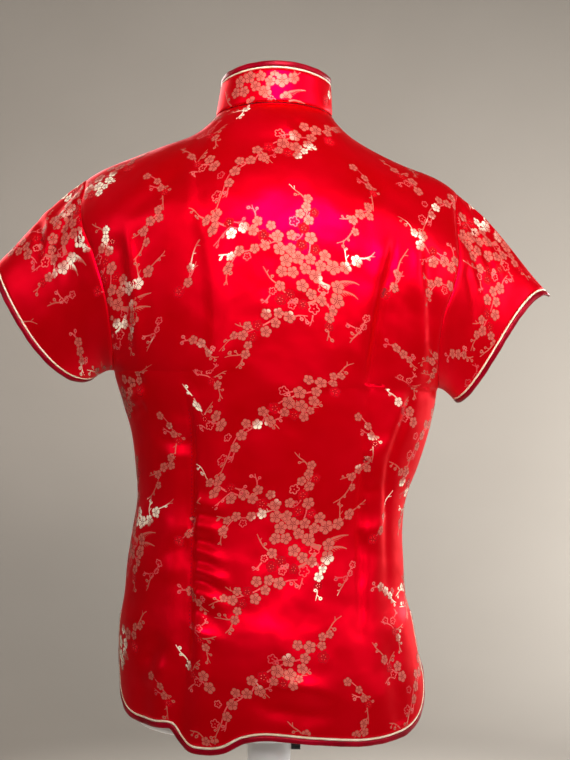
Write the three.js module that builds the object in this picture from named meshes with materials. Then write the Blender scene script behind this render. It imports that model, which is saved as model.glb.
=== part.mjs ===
import * as THREE from "three";

// Millimetres, +Z up. The front of the blouse faces -Y and +X is the wearer's left.
// The foot of the stand is centred on the origin.

// Cloth and its seams.
const clothWall = 1.3;
const seamGap = 0.3;
const seamHalf = 0.2;
const frontEdgeHalf = 0.35;

// Edge finish: a cream piping next to the cloth and a rolled binding outside it.
const pipingRadius = 0.9;
const pipingSides = 4;
const bindingWidth = 5.2;
const bindingRise = 0.6;
const bindingThick = 2.5;
const rimWidth = seamGap + 2 * pipingRadius + seamGap + bindingWidth;

// Body sections from the hem up: centre and half width across, depth of back and front.
const torso = [
  { z: 225, centre: -3, half: 151, back: 104, front: 110 },
  { z: 276, centre: -3, half: 151, back: 103, front: 108 },
  { z: 308, centre: 0.5, half: 148.5, back: 101, front: 107 },
  { z: 340, centre: 3, half: 145, back: 97, front: 104 },
  { z: 364, centre: 4, half: 140, back: 93, front: 102 },
  { z: 396, centre: 3.5, half: 137.5, back: 89, front: 101 },
  { z: 428, centre: 1.5, half: 134.5, back: 86, front: 101 },
  { z: 460, centre: -3, half: 134, back: 86, front: 103 },
  { z: 492, centre: -8, half: 141, back: 89, front: 108 },
  { z: 524, centre: -11, half: 148, back: 93, front: 114 },
  { z: 556, centre: -10, half: 156, back: 98, front: 119 },
  { z: 584, centre: -7, half: 161, back: 101, front: 121 },
  { z: 620, centre: -6, half: 163, back: 104, front: 120 },
  { z: 660, centre: -5, half: 165, back: 106, front: 116 },
  { z: 700, centre: -5, half: 168, back: 107, front: 111 },
  { z: 740, centre: -5, half: 172, back: 106, front: 107 },
  { z: 780, centre: -5, half: 178, back: 103, front: 103 },
  { z: 842, centre: -5, half: 178, back: 98, front: 98 },
];
const bust = { out: 80, z: 603, rise: 12, across: 36, tall: 48 };

// Armholes: underarm and shoulder point, distance of the seam from the middle plane, depths.
const armholeLeft = {
  under: 584,
  tip: 776,
  back: 66,
  front: 60,
  seam: [
    { z: 584, x: 154 },
    { z: 612, x: 151 },
    { z: 654, x: 155 },
    { z: 698, x: 168 },
    { z: 724, x: 179 },
    { z: 745, x: 182 },
    { z: 765, x: 181 },
    { z: 776, x: 182 },
  ],
};
const armholeRight = {
  under: 567,
  tip: 762,
  back: 66,
  front: 60,
  seam: [
    { z: 567, x: 168 },
    { z: 600, x: 164 },
    { z: 635, x: 167 },
    { z: 660, x: 176 },
    { z: 690, x: 183 },
    { z: 725, x: 183 },
    { z: 748, x: 184 },
    { z: 762, x: 188 },
  ],
};
const armholeTaper = 0.35;

// Shoulder lines, height by distance from the middle plane.
const shoulderLeft = [
  { x: 53.5, z: 838 },
  { x: 58, z: 828 },
  { x: 69, z: 820 },
  { x: 97, z: 812 },
  { x: 118, z: 804 },
  { x: 139, z: 796 },
  { x: 162, z: 788 },
  { x: 182, z: 776 },
];
const shoulderRight = [
  { x: 63.5, z: 838 },
  { x: 65.5, z: 828 },
  { x: 75, z: 820 },
  { x: 89, z: 812 },
  { x: 103, z: 804 },
  { x: 119, z: 796 },
  { x: 137, z: 788 },
  { x: 162, z: 780 },
  { x: 178, z: 771 },
  { x: 188, z: 762 },
];

// The same line eased over the neck, which the body takes up below the top edge.
const easedRidge = [
  { x: -188, z: 762 },
  { x: -140, z: 788 },
  { x: -100, z: 806 },
  { x: -60, z: 823 },
  { x: 0, z: 835 },
  { x: 60, z: 827 },
  { x: 101, z: 812 },
  { x: 142, z: 796 },
  { x: 182, z: 776 },
];
const easeDrop = 60;
const archReach = { middle: 105, shoulder: 85, width: 150 };

// Neck seam and stand collar.
const neck = { centre: -5, half: 58.5, back: 52, front: 62, zBack: 842, zSide: 838, zFront: 800 };
const collarTop = { centre: -7, half: 54.5, back: 50, front: 56, zBack: 882, zSide: 875, zFront: 852 };
const collarWall = 1.6;
const collarCorner = 16;
const collarFrontGap = 0.8;
const collarLift = 0.6;

// Hem of the back by distance across, lowest edge of its binding.
const hemBack = [
  { x: -152, z: 240 },
  { x: -125, z: 235 },
  { x: -94, z: 234 },
  { x: -50, z: 239 },
  { x: 0, z: 244 },
  { x: 24, z: 241 },
  { x: 44, z: 231 },
  { x: 62, z: 229 },
  { x: 74, z: 231 },
  { x: 83, z: 238 },
  { x: 91, z: 248 },
  { x: 110, z: 248 },
  { x: 150, z: 249 },
];
const hemFront = [
  { x: -152, z: 243 },
  { x: -60, z: 238 },
  { x: 0, z: 236 },
  { x: 60, z: 238 },
  { x: 150, z: 246 },
];
const slit = { top: 356, start: 346, cornerAcross: 56, cornerUp: 42, open: 5 };

// Long troughs of the back: a line down the cloth with its depth, and the half width of each.
const troughs = [
  {
    spread: 9,
    line: [
      { z: 235, x: 87, deep: 5 },
      { z: 330, x: 76, deep: 3.5 },
      { z: 400, x: 74, deep: 4 },
      { z: 540, x: 76, deep: 3 },
      { z: 580, x: 80, deep: 0 },
    ],
  },
  {
    spread: 9,
    line: [
      { z: 235, x: -90, deep: 1 },
      { z: 382, x: -85, deep: 3 },
      { z: 499, x: -91, deep: 3.5 },
      { z: 574, x: -94, deep: 3 },
      { z: 626, x: -101, deep: 2.5 },
      { z: 704, x: -117, deep: 0 },
    ],
  },
];

// Sleeves: middle of the cuff, its half length and half thickness, how far its back and front edges
// swing out past it, and the curl of its lower end.
const cuffLeft = { x: 229, y: -16, z: 633.5, run: 48, rise: 57.5, thick: 33, back: 18, front: -14, curl: 4.5 };
const cuffRight = { x: 236.5, y: -10, z: 607, run: 46.5, rise: 54, thick: 33, back: -7, front: -12, curl: 6 };
const sleeveRows = 5;

// Frog fastenings down the front.
const frogHeights = [786, 704, 622, 540, 458];
const frog = { length: 50, halfWidth: 3.9, halfThick: 1.7, ball: 5.2, cord: 1.6, clear: 0.8 };

// Dress form and stand.
const formClear = [
  { z: 225, gap: 19 },
  { z: 262, gap: 16 },
  { z: 320, gap: 10 },
  { z: 440, gap: 9.5 },
  { z: 560, gap: 8 },
  { z: 640, gap: 5 },
  { z: 700, gap: 3.4 },
  { z: 740, gap: 4 },
  { z: 850, gap: 4 },
];
const formRings = [
  240, 252, 276, 308, 340, 380, 420, 460, 500, 540, 580, 610, 640, 670, 700, 724, 742, 756,
  766, 775, 784, 793, 802, 811, 820, 829,
];
const formBottom = { z: 233, inset: 14, roundZ: 236, roundInset: 5 };
const formNeck = { half: 50, back: 43, front: 46, from: 840, top: 866, edge: 5 };
const formSides = 36;
const socket = { top: 232.6, topRadius: 23.5, midRadius: 21.5, mid: 190, bottom: 160, bottomRadius: 19 };
const pole = { radius: 12.5 };
const base = { radius: 140, edge: 8, top: 14, hubRadius: 22, hub: 26 };
const knob = { z: 211, radius: 4.2, length: 9 };

const turnSides = 28;
const endMargin = 1e-3;

const ivory = 0xf0e6d0;
const colours = {
  cloth: 0xc8102a,
  binding: 0x8e0a1c,
  piping: ivory,
  shell: 0xf4f4f2,
  metal: 0xb9bcc0,
  dark: 0x1c1c1e,
};

// Value of a table's column at a position, with a smooth curve through its rows.
function along(table, key, by, at) {
  const last = table.length - 1;
  if (at <= table[0][by]) return table[0][key];
  if (at >= table[last][by]) return table[last][key];
  let i = 0;
  while (at > table[i + 1][by]) i += 1;
  const a = table[Math.max(i - 1, 0)];
  const b = table[i];
  const c = table[i + 1];
  const d = table[Math.min(i + 2, last)];
  const span = c[by] - b[by];
  const t = (at - b[by]) / span;
  const slopeB = ((c[key] - a[key]) / (c[by] - a[by])) * span;
  const slopeC = ((d[key] - b[key]) / (d[by] - b[by])) * span;
  const t2 = t * t;
  const t3 = t2 * t;
  const held = (2 * t3 - 3 * t2 + 1) * b[key] + (3 * t2 - 2 * t3) * c[key];
  return held + (t3 - 2 * t2 + t) * slopeB + (t3 - t2) * slopeC;
}

function mix(a, b, t) {
  return a + (b - a) * t;
}

function smooth(from, to, at) {
  const t = Math.min(Math.max((at - from) / (to - from), 0), 1);
  return t * t * (3 - 2 * t);
}

function bell(distance, spread) {
  return Math.exp(-(distance * distance) / (2 * spread * spread));
}

function armholeOf(side) {
  return side > 0 ? armholeLeft : armholeRight;
}

// Point of the neck seam at an angle: 0 at the back, +-90 at the shoulders, 180 at the front.
function neckPoint(angle, ring) {
  const c = Math.cos(angle);
  const s = Math.sin(angle);
  if (c >= 0) {
    return new THREE.Vector3(ring.centre + ring.half * s, ring.back * c, mix(ring.zBack, ring.zSide, s * s));
  }
  const drop = Math.pow(-c, 1.5);
  const y = -ring.front * Math.pow(-c, 0.9);
  return new THREE.Vector3(ring.centre + ring.half * s, y, mix(ring.zSide, ring.zFront, drop));
}

// Top edge of a panel at a distance across: the neck seam in the middle, the shoulder line outside it.
function panelTop(face, x) {
  const out = x - neck.centre;
  if (Math.abs(out) < neck.half) {
    const back = Math.asin(out / neck.half);
    const point = neckPoint(face > 0 ? back : Math.PI - back, neck);
    return { y: Math.abs(point.y), z: point.z };
  }
  const line = x > 0 ? shoulderLeft : shoulderRight;
  return { y: 0, z: along(line, "z", "x", Math.abs(x)) };
}

function reachAt(x) {
  return mix(archReach.middle, archReach.shoulder, smooth(0, archReach.width, Math.abs(x - neck.centre)));
}

// How far the body has bulged out at a drop below its ridge, from 0 at the ridge to 1.
function archAt(x, drop) {
  const rest = 1 - Math.min(Math.max(drop / reachAt(x), 0), 1);
  return Math.sqrt(1 - rest * rest);
}

// Bulge of a face without its arch towards the shoulders.
function fullDepth(face, x, z) {
  const centre = along(torso, "centre", "z", z);
  const edge = panelEdge(face, x >= centre ? 1 : -1, z);
  const across = Math.min(Math.abs(x - centre) / edge.half, 1);
  return depthAt(face, z) * Math.sqrt(1 - across * across);
}

// Height of the ridge that the body arches up to. Over the neck it's set so that the neck seam lies on the body.
function ridgeAt(face, x) {
  const top = panelTop(face, x);
  if (Math.abs(x - neck.centre) >= neck.half) return top.z;
  const share = Math.min(top.y / fullDepth(face, x, top.z), 1);
  return top.z + reachAt(x) * (1 - Math.sqrt(1 - share * share));
}

function ridgeDrop(face, x, z) {
  const eased = smooth(0, easeDrop, panelTop(face, x).z - z);
  return mix(ridgeAt(face, x), along(easedRidge, "z", "x", x), eased) - z;
}

function depthAt(face, z) {
  return along(torso, face > 0 ? "back" : "front", "z", z);
}

function slitSetback(z) {
  if (z >= slit.top) return seamHalf;
  const shut = seamHalf + rimWidth;
  if (z >= slit.start) return mix(shut, seamHalf, (z - slit.start) / (slit.top - slit.start));
  return shut + (slit.open * (slit.start - z)) / slit.start;
}

// Edge of a panel at a height: distance from the body's centre, depth, and the angle it stands at.
function panelEdge(face, side, z) {
  const hole = armholeOf(side);
  const centre = along(torso, "centre", "z", z);
  if (z <= hole.under) {
    const angle = Math.acos(slitSetback(z) / depthAt(face, z));
    return { angle, half: along(torso, "half", "z", z) };
  }
  const height = Math.min(z, hole.tip - 0.5);
  const t = (height - hole.under) / (hole.tip - hole.under);
  const round = Math.sqrt(1 - (1 - 2 * t) * (1 - 2 * t));
  const widest = face > 0 ? hole.back : hole.front;
  const y = seamHalf + widest * round * (1 - armholeTaper * t * t);
  const x = along(hole.seam, "x", "z", z);
  const arch = archAt(side * x, Math.max(ridgeDrop(face, side * x, height), 0.5));
  const angle = Math.acos(Math.min(y / (depthAt(face, height) * arch), 1));
  return { angle, half: Math.abs(side * x - centre) / Math.sin(angle) };
}

// Bulge of the body towards a face, measured from the middle plane, at a place across and a height.
function bodyDepth(face, x, z) {
  const full = fullDepth(face, x, z);
  const y = full * archAt(x, ridgeDrop(face, x, z));
  if (face > 0) return y;
  const out = Math.abs(x - along(torso, "centre", "z", z)) - bust.out;
  return y + (bust.rise * bell(out, bust.across) * bell(z - bust.z, bust.tall) * full) / depthAt(face, z);
}

function troughDepth(x, z) {
  return troughs.reduce((sum, trough) => {
    const away = x - along(trough.line, "x", "z", z);
    return sum + along(trough.line, "deep", "z", z) * bell(away, trough.spread);
  }, 0);
}

// Point of a panel's outer face, at a share of its half width and a height.
function panelPoint(face, share, z) {
  const side = share >= 0 ? 1 : -1;
  const edge = panelEdge(face, side, z);
  const centre = along(torso, "centre", "z", z);
  let x = centre + edge.half * Math.sin(share * edge.angle);
  if (face < 0 && Math.abs(x - centre) < frontEdgeHalf) x = centre + side * frontEdgeHalf;
  let y = Math.max(bodyDepth(face, x, z), seamHalf);
  if (face > 0) y -= troughDepth(x, z) * Math.min(y / 20, 1);
  return new THREE.Vector3(x, face * y, z);
}

// Height of a column's top end.
function columnTop(face, share) {
  const hole = armholeOf(share);
  const edge = panelEdge(face, share >= 0 ? 1 : -1, hole.tip);
  const x = along(torso, "centre", "z", hole.tip) + edge.half * Math.sin(share * edge.angle);
  return panelTop(face, x).z;
}

// Distance along the hem from the slit edge to a column.
function hemArc(face, share, z) {
  const steps = 24;
  let arc = 0;
  let before = panelPoint(face, Math.sign(share || 1), z);
  for (let i = 1; i <= steps; i += 1) {
    const next = panelPoint(face, mix(Math.sign(share || 1), share, i / steps), z);
    arc += before.distanceTo(next);
    before = next;
  }
  return arc;
}

function columnBottom(face, share) {
  const table = face > 0 ? hemBack : hemFront;
  const near = panelPoint(face, share, 250);
  const z = along(table, "z", "x", near.x) + rimWidth;
  const arc = hemArc(face, share, z);
  const short = Math.max(1 - arc / slit.cornerAcross, 0);
  return z + slit.cornerUp * (1 - Math.sqrt(1 - short * short));
}

const rowsHem = 4;
const rowsSide = 6;
const rowsArmhole = 12;
const rowSlit = rowsHem;
const rowUnder = rowsHem + 1 + rowsSide;
const rowTop = rowUnder + rowsArmhole;

// Height of a grid row in a column: hem, slit, side seam and armhole each have their own rows.
function rowHeight(face, share, row) {
  const bottom = columnBottom(face, share);
  const under = mix(armholeRight.under, armholeLeft.under, (share + 1) / 2);
  if (row <= rowsHem) return mix(bottom, slit.start, row / rowsHem);
  if (row <= rowsHem + 1) return slit.top;
  if (row <= rowUnder) return mix(slit.top, under, (row - rowsHem - 1) / rowsSide);
  const turn = (1 - Math.cos((Math.PI * (row - rowUnder)) / rowsArmhole)) / 2;
  return mix(under, columnTop(face, share), turn);
}

// Outward direction of a panel at a place, from short steps along it.
function panelNormal(face, share, z) {
  const step = 0.004;
  const top = columnTop(face, share);
  const low = Math.min(z - 0.6, top - 1.6);
  const high = Math.min(z + 0.6, top - 0.4);
  const middle = (low + high) / 2;
  const across = panelPoint(face, share + step, middle).sub(panelPoint(face, share - step, middle));
  const up = panelPoint(face, share, high).sub(panelPoint(face, share, low));
  const normal = across.cross(up).normalize();
  return normal.y * face < 0 ? normal.negate() : normal;
}

// Normal that leaves the seam faces parallel where two panels meet.
function seamNormal(face, share, row, z) {
  const normal = panelNormal(face, share, z);
  const side = share >= 0 ? 1 : -1;
  const atSide = Math.abs(share) > 1 - endMargin;
  if (atSide && row <= rowUnder && row > rowSlit) return new THREE.Vector3(side, 0, normal.z).normalize();
  const top = panelPoint(face, share, z);
  const atRidge = row === rowTop && Math.abs(top.x - neck.centre) >= neck.half;
  if (atRidge) return new THREE.Vector3(side * 0.36, 0, 0.93).normalize();
  if (face < 0 && Math.abs(share) < endMargin) return new THREE.Vector3(0, normal.y, normal.z).normalize();
  return normal;
}

function panelGrid(face, shares) {
  return shares.map((share) => {
    const column = [];
    for (let row = 0; row <= rowTop; row += 1) {
      const z = rowHeight(face, share, row);
      const point = panelPoint(face, share, z);
      const normal = seamNormal(face, share, row, z);
      column.push({ point, normal, inner: point.clone().addScaledVector(normal, -clothWall) });
    }
    return column;
  });
}

// Closed body from an outer and an inner grid, with its four edges, or two for a ring.
function shellGeometry(grid, ring, flip) {
  const columns = grid.length;
  const rows = grid[0].length;
  const positions = [];
  grid.forEach((column) => column.forEach((cell) => positions.push(...cell.point.toArray())));
  grid.forEach((column) => column.forEach((cell) => positions.push(...cell.inner.toArray())));
  const inner = columns * rows;
  const faces = [];
  const quad = (a, b, c, d) => {
    if (flip) faces.push(a, c, b, a, d, c);
    else faces.push(a, b, c, a, c, d);
  };
  const spans = ring ? columns : columns - 1;
  for (let i = 0; i < spans; i += 1) {
    const a = i * rows;
    const b = ((i + 1) % columns) * rows;
    for (let j = 0; j < rows - 1; j += 1) {
      quad(a + j, b + j, b + j + 1, a + j + 1);
      quad(inner + a + j, inner + a + j + 1, inner + b + j + 1, inner + b + j);
    }
    quad(a, inner + a, inner + b, b);
    quad(a + rows - 1, b + rows - 1, inner + b + rows - 1, inner + a + rows - 1);
  }
  if (!ring) {
    const z = (columns - 1) * rows;
    for (let j = 0; j < rows - 1; j += 1) {
      quad(j, j + 1, inner + j + 1, inner + j);
      quad(z + j, inner + z + j, inner + z + j + 1, z + j + 1);
    }
  }
  return solid(positions, faces);
}

// Closed body swept through sections that all have the same number of points.
function sweptGeometry(sections, ring) {
  const count = sections.length;
  const sides = sections[0].length;
  const positions = sections.flatMap((section) => section.flatMap((point) => point.toArray()));
  const faces = [];
  const spans = ring ? count : count - 1;
  for (let i = 0; i < spans; i += 1) {
    const a = i * sides;
    const b = ((i + 1) % count) * sides;
    for (let j = 0; j < sides; j += 1) {
      const k = (j + 1) % sides;
      faces.push(a + j, a + k, b + k, a + j, b + k, b + j);
    }
  }
  if (!ring) {
    const z = (count - 1) * sides;
    for (let j = 1; j < sides - 1; j += 1) {
      faces.push(0, j + 1, j, z, z + j, z + j + 1);
    }
  }
  return solid(positions, faces);
}

function volumeOf(positions, faces) {
  let sum = 0;
  const at = (i) => new THREE.Vector3(positions[3 * i], positions[3 * i + 1], positions[3 * i + 2]);
  for (let i = 0; i < faces.length; i += 3) {
    sum += at(faces[i]).dot(at(faces[i + 1]).cross(at(faces[i + 2])));
  }
  return sum / 6;
}

// Geometry whose faces all point out, whichever way its sections ran.
function solid(positions, faces) {
  if (volumeOf(positions, faces) < 0) {
    for (let i = 0; i < faces.length; i += 3) {
      [faces[i + 1], faces[i + 2]] = [faces[i + 2], faces[i + 1]];
    }
  }
  const geometry = new THREE.BufferGeometry();
  geometry.setAttribute("position", new THREE.Float32BufferAttribute(positions, 3));
  geometry.setIndex(faces);
  geometry.computeVertexNormals();
  return geometry;
}

const root = new THREE.Group();

function addPart(name, geometry, colour, roughness) {
  const material = new THREE.MeshStandardMaterial({ color: colour, roughness });
  const mesh = new THREE.Mesh(geometry, material);
  mesh.name = name;
  root.add(mesh);
}

// Path of an edge with the way out of the cloth at each point.
function edgePath(cells, inward, ring) {
  const count = cells.length;
  return cells.map((cell, i) => {
    const before = cells[ring ? (i + count - 1) % count : Math.max(i - 1, 0)];
    const after = cells[ring ? (i + 1) % count : Math.min(i + 1, count - 1)];
    const run = after.point.clone().sub(before.point).normalize();
    const out = run.cross(cell.normal).normalize();
    if (out.dot(inward[i].clone().sub(cell.point)) > 0) out.negate();
    return { point: cell.point, normal: cell.normal, out };
  });
}

function rimSection(stop, profile) {
  return profile.map(([out, lift]) =>
    stop.point.clone().addScaledVector(stop.out, out).addScaledVector(stop.normal, lift),
  );
}

function pipingProfile(wall) {
  const middle = seamGap + pipingRadius;
  const points = [];
  for (let i = 0; i < pipingSides; i += 1) {
    const turn = (2 * Math.PI * i) / pipingSides;
    points.push([middle + pipingRadius * Math.cos(turn), pipingRadius * Math.sin(turn) - wall / 2]);
  }
  return points;
}

function bindingProfile(wall) {
  const start = 2 * seamGap + 2 * pipingRadius;
  const end = start + bindingWidth;
  const middle = start + bindingWidth / 2;
  const low = wall / 2 + bindingThick / 2;
  return [
    [start, bindingRise / 2],
    [middle, bindingRise],
    [end, -wall / 2 + 0.5],
    [end, -wall / 2 - 0.5],
    [middle, -low],
    [start, -wall],
  ];
}

function addRim(name, cells, inward, ring, wall) {
  const path = edgePath(cells, inward, ring);
  const pipingSections = path.map((stop) => rimSection(stop, pipingProfile(wall)));
  const bindingSections = path.map((stop) => rimSection(stop, bindingProfile(wall)));
  addPart(name + "_piping", sweptGeometry(pipingSections, ring), colours.piping, 0.5);
  addPart(name + "_binding", sweptGeometry(bindingSections, ring), colours.binding, 0.35);
}

// Rim of a panel: down one slit edge, along the hem and up the other slit edge.
function addPanelRim(name, grid, from, to) {
  const cells = [];
  const inward = [];
  const last = grid.length - 1;
  const push = (column, row, inColumn, inRow) => {
    cells.push(grid[column][row]);
    inward.push(grid[inColumn][inRow].point);
  };
  if (from) for (let row = rowSlit; row > 0; row -= 1) push(0, row, 1, row);
  for (let column = 0; column <= last; column += 1) push(column, 0, column, 1);
  if (to) for (let row = 1; row <= rowSlit; row += 1) push(last, row, last - 1, row);
  addRim(name, cells, inward, false, clothWall);
}

const neckTurns = { back: [0, 18, 36, 54, 72, 90], front: [0, 20, 38, 54, 68, 80, 90] };
const shoulderSteps = {
  back: [0.07, 0.15, 0.2, 0.25, 0.35, 0.46, 0.57, 0.69, 0.8, 0.9, 0.96, 1],
  front: [0.13, 0.28, 0.44, 0.6, 0.75, 0.88, 0.955, 1],
};

// Columns of half a panel: even turns round the neck seam, then steps out along the shoulder.
function halfShares(face, side) {
  const name = face > 0 ? "back" : "front";
  const tip = armholeOf(side).tip;
  const edge = panelEdge(face, side, tip);
  const centre = along(torso, "centre", "z", tip);
  const atNeck = neckTurns[name].map((degrees) => {
    const out = neck.half * Math.sin((degrees * Math.PI) / 180) + side * (neck.centre - centre);
    return degrees > 0 ? Math.asin(out / edge.half) / edge.angle : 0;
  });
  const last = atNeck[atNeck.length - 1];
  return [...atNeck, ...shoulderSteps[name].map((step) => mix(last, 1, step))];
}

function makeBack() {
  const right = halfShares(1, -1).slice(1).map((share) => -share);
  const grid = panelGrid(1, [...right.reverse(), ...halfShares(1, 1)]);
  addPart("back", shellGeometry(grid, false, false), colours.cloth, 0.4);
  addPanelRim("back", grid, true, true);
  return grid;
}

function makeFront(name, side) {
  const shares = halfShares(-1, side).map((share) => side * (share || endMargin / 10));
  const grid = panelGrid(-1, shares);
  addPart(name, shellGeometry(grid, false, false), colours.cloth, 0.4);
  addPanelRim(name, grid, false, true);
  return grid;
}

// Seam loop of an armhole, from the underarm up the back to the shoulder and down the front.
function armholeLoop(backColumn, frontColumn) {
  const up = backColumn.slice(rowUnder);
  const down = frontColumn.slice(rowUnder + 1, rowTop).reverse();
  const loop = [...up, ...down].map((cell) => ({ point: cell.point.clone(), normal: cell.normal.clone() }));
  loop[0].point.y = 0;
  loop[rowTop - rowUnder].point.y = 0;
  return loop;
}

function cuffPoint(cuff, side, turn) {
  const c = -Math.cos(turn);
  const s = Math.sin(turn);
  const reach = Math.hypot(cuff.run, cuff.rise);
  const swing = s > 0 ? cuff.back : cuff.front;
  const bow = (Math.abs(s) * (swing - 2 * cuff.curl * c)) / reach;
  const x = cuff.x + cuff.run * c + cuff.rise * bow;
  const y = cuff.y + cuff.thick * Math.sign(s) * Math.pow(Math.abs(s), 0.85);
  return new THREE.Vector3(side * x, y, cuff.z + cuff.rise * c - cuff.run * bow);
}

// Curve from the armhole to the cuff that leaves the seam along the shoulder and ends along the sleeve.
function sleevePoint(start, leave, end, arrive, t) {
  const t2 = t * t;
  const t3 = t2 * t;
  return start
    .clone()
    .multiplyScalar(2 * t3 - 3 * t2 + 1)
    .addScaledVector(leave, t3 - 2 * t2 + t)
    .addScaledVector(end, 3 * t2 - 2 * t3)
    .addScaledVector(arrive, t3 - t2);
}

function makeSleeve(name, rimName, side, loop, cuff) {
  const count = loop.length;
  const reach = Math.hypot(cuff.run, cuff.rise);
  const down = new THREE.Vector3((side * cuff.rise) / reach, -0.25, -cuff.run / reach).normalize();
  const lines = loop.map((cell, i) => {
    const run = loop[(i + 1) % count].point.clone().sub(loop[(i + count - 1) % count].point);
    const out = run.normalize().cross(cell.normal).multiplyScalar(-side).normalize();
    const start = cell.point.clone().addScaledVector(out, seamGap + 0.1);
    const end = cuffPoint(cuff, side, (2 * Math.PI * i) / count);
    const length = start.distanceTo(end);
    const straight = end.clone().sub(start).normalize();
    const leave = out.clone().multiplyScalar(0.6).addScaledVector(straight, 0.6).multiplyScalar(length);
    const arrive = down.clone().multiplyScalar(0.6).addScaledVector(straight, 0.4).multiplyScalar(length);
    const cut = 1 - rimWidth / length;
    const points = [];
    for (let row = 0; row <= sleeveRows; row += 1) {
      points.push(sleevePoint(start, leave, end, arrive, (cut * row) / sleeveRows));
    }
    return { points, normal: cell.normal };
  });
  const grid = lines.map((line, i) =>
    line.points.map((point, row) => {
      const left = lines[(i + count - 1) % count].points[row];
      const right = lines[(i + 1) % count].points[row];
      const around = right.clone().sub(left);
      const before = line.points[Math.max(row - 1, 0)];
      const after = line.points[Math.min(row + 1, sleeveRows)];
      const normal = around.cross(after.clone().sub(before)).multiplyScalar(-side).normalize();
      const used = row === 0 ? line.normal : normal;
      return { point, normal: used, inner: point.clone().addScaledVector(used, -clothWall) };
    }),
  );
  addPart(name, shellGeometry(grid, true, false), colours.cloth, 0.4);
  const cells = grid.map((column) => column[sleeveRows]);
  const inward = grid.map((column) => column[sleeveRows - 1].point);
  addRim(rimName, cells, inward, true, clothWall);
}

// Collar strip: columns round the neck, set back from its finished edge by the rim.
function collarCell(angle, share, lowered) {
  const low = neckPoint(angle, neck);
  const high = neckPoint(angle, collarTop);
  const height = high.z - low.z - lowered - rimWidth;
  const z = low.z + seamGap + collarLift + height * share;
  const t = (z - low.z) / (high.z - low.z);
  return new THREE.Vector3(mix(low.x, high.x, t), mix(low.y, high.y, t), z);
}

function makeCollar() {
  const columns = 36;
  const rows = 3;
  const frontArc = (collarFrontGap + rimWidth) / neck.half;
  const cornerArc = collarCorner / neck.half;
  const limit = Math.PI - frontArc;
  const angles = [];
  for (let i = 0; i <= columns; i += 1) {
    const even = (2 * i) / columns - 1;
    angles.push(limit * Math.sin((even * Math.PI) / 2) * 0.35 + limit * even * 0.65);
  }
  const grid = angles.map((angle) => {
    const into = Math.min((limit - Math.abs(angle)) / cornerArc, 1);
    const lowered = collarCorner * (1 - Math.sqrt(1 - (1 - into) * (1 - into)));
    const column = [];
    for (let row = 0; row <= rows; row += 1) {
      const point = collarCell(angle, row / rows, lowered);
      const beside = collarCell(angle + 0.01, row / rows, lowered).sub(collarCell(angle - 0.01, row / rows, lowered));
      const normal = new THREE.Vector3(-beside.y, beside.x, 0).normalize();
      if (normal.x * (point.x - neck.centre) + normal.y * point.y < 0) normal.negate();
      column.push({ point, normal, inner: point.clone().addScaledVector(normal, -collarWall) });
    }
    return column;
  });
  addPart("collar", shellGeometry(grid, false, false), colours.cloth, 0.4);
  const cells = [];
  const inward = [];
  for (let row = 0; row < rows; row += 1) {
    cells.push(grid[0][row]);
    inward.push(grid[1][row].point);
  }
  grid.forEach((column) => {
    cells.push(column[rows]);
    inward.push(column[rows - 1].point);
  });
  for (let row = rows - 1; row >= 0; row -= 1) {
    cells.push(grid[columns][row]);
    inward.push(grid[columns - 1][row].point);
  }
  addRim("collar", cells, inward, false, collarWall);
}

// Place on the front's outer face, lifted off the cloth.
function frontPlace(x, z, lift) {
  const step = 0.5;
  const y = bodyDepth(-1, x, z);
  const slopeX = (bodyDepth(-1, x + step, z) - bodyDepth(-1, x - step, z)) / (2 * step);
  const slopeZ = (bodyDepth(-1, x, z + step) - bodyDepth(-1, x, z - step)) / (2 * step);
  const normal = new THREE.Vector3(-slopeX, -1, -slopeZ).normalize();
  return { point: new THREE.Vector3(x, -y, z).addScaledVector(normal, lift), normal };
}

// Section of a cord at a place, as wide across the run as half[0] and as thick off the cloth as half[1].
function cordSection(place, run, half, sides) {
  const across = run.clone().cross(place.normal).normalize();
  const lift = across.clone().cross(run).normalize();
  const points = [];
  for (let i = 0; i < sides; i += 1) {
    const turn = (2 * Math.PI * i) / sides;
    const wide = half[0] * Math.cos(turn);
    const tall = half[1] * Math.sin(turn);
    points.push(place.point.clone().addScaledVector(across, wide).addScaledVector(lift, tall));
  }
  return points;
}

// Knot side of a frog: a flat folded cord on the left front that ends in a ball knot over the opening.
function makeFrogKnot(name, z) {
  const middle = along(torso, "centre", "z", z);
  const flat = frog.clear + frog.halfThick;
  const high = frog.clear + frog.ball + 0.4;
  const stops = [
    { x: -frog.ball * 0.96, lift: high, half: [1.4, 1.4] },
    { x: -frog.ball * 0.7, lift: high, half: [3.7, 3.7] },
    { x: 0, lift: high, half: [frog.ball, frog.ball] },
    { x: frog.ball * 0.7, lift: high, half: [3.7, 3.7] },
    { x: frog.ball * 0.98, lift: high + 0.4, half: [1.7, 1.6] },
    { x: 8.2, lift: high, half: [1.7, 1.5] },
    { x: 12.5, lift: flat + 0.5, half: [3, frog.halfThick] },
    { x: 18, lift: flat + 0.1, half: [frog.halfWidth, frog.halfThick] },
    { x: 34, lift: flat + 0.1, half: [frog.halfWidth, frog.halfThick] },
    { x: frog.length - 2, lift: flat + 0.1, half: [frog.halfWidth, frog.halfThick] },
    { x: frog.length, lift: flat + 0.1, half: [frog.halfWidth * 0.6, frog.halfThick * 0.6] },
  ];
  const run = new THREE.Vector3(1, 0, 0);
  const sections = stops.map((stop) => {
    const place = frontPlace(middle + stop.x, z, stop.lift);
    const ahead = frontPlace(middle + stop.x + 1, z, 0).point.sub(frontPlace(middle + stop.x - 1, z, 0).point);
    return cordSection(place, stop.x < 10 ? run : ahead.normalize(), stop.half, 6);
  });
  addPart(name, sweptGeometry(sections, false), colours.binding, 0.4);
}

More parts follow.
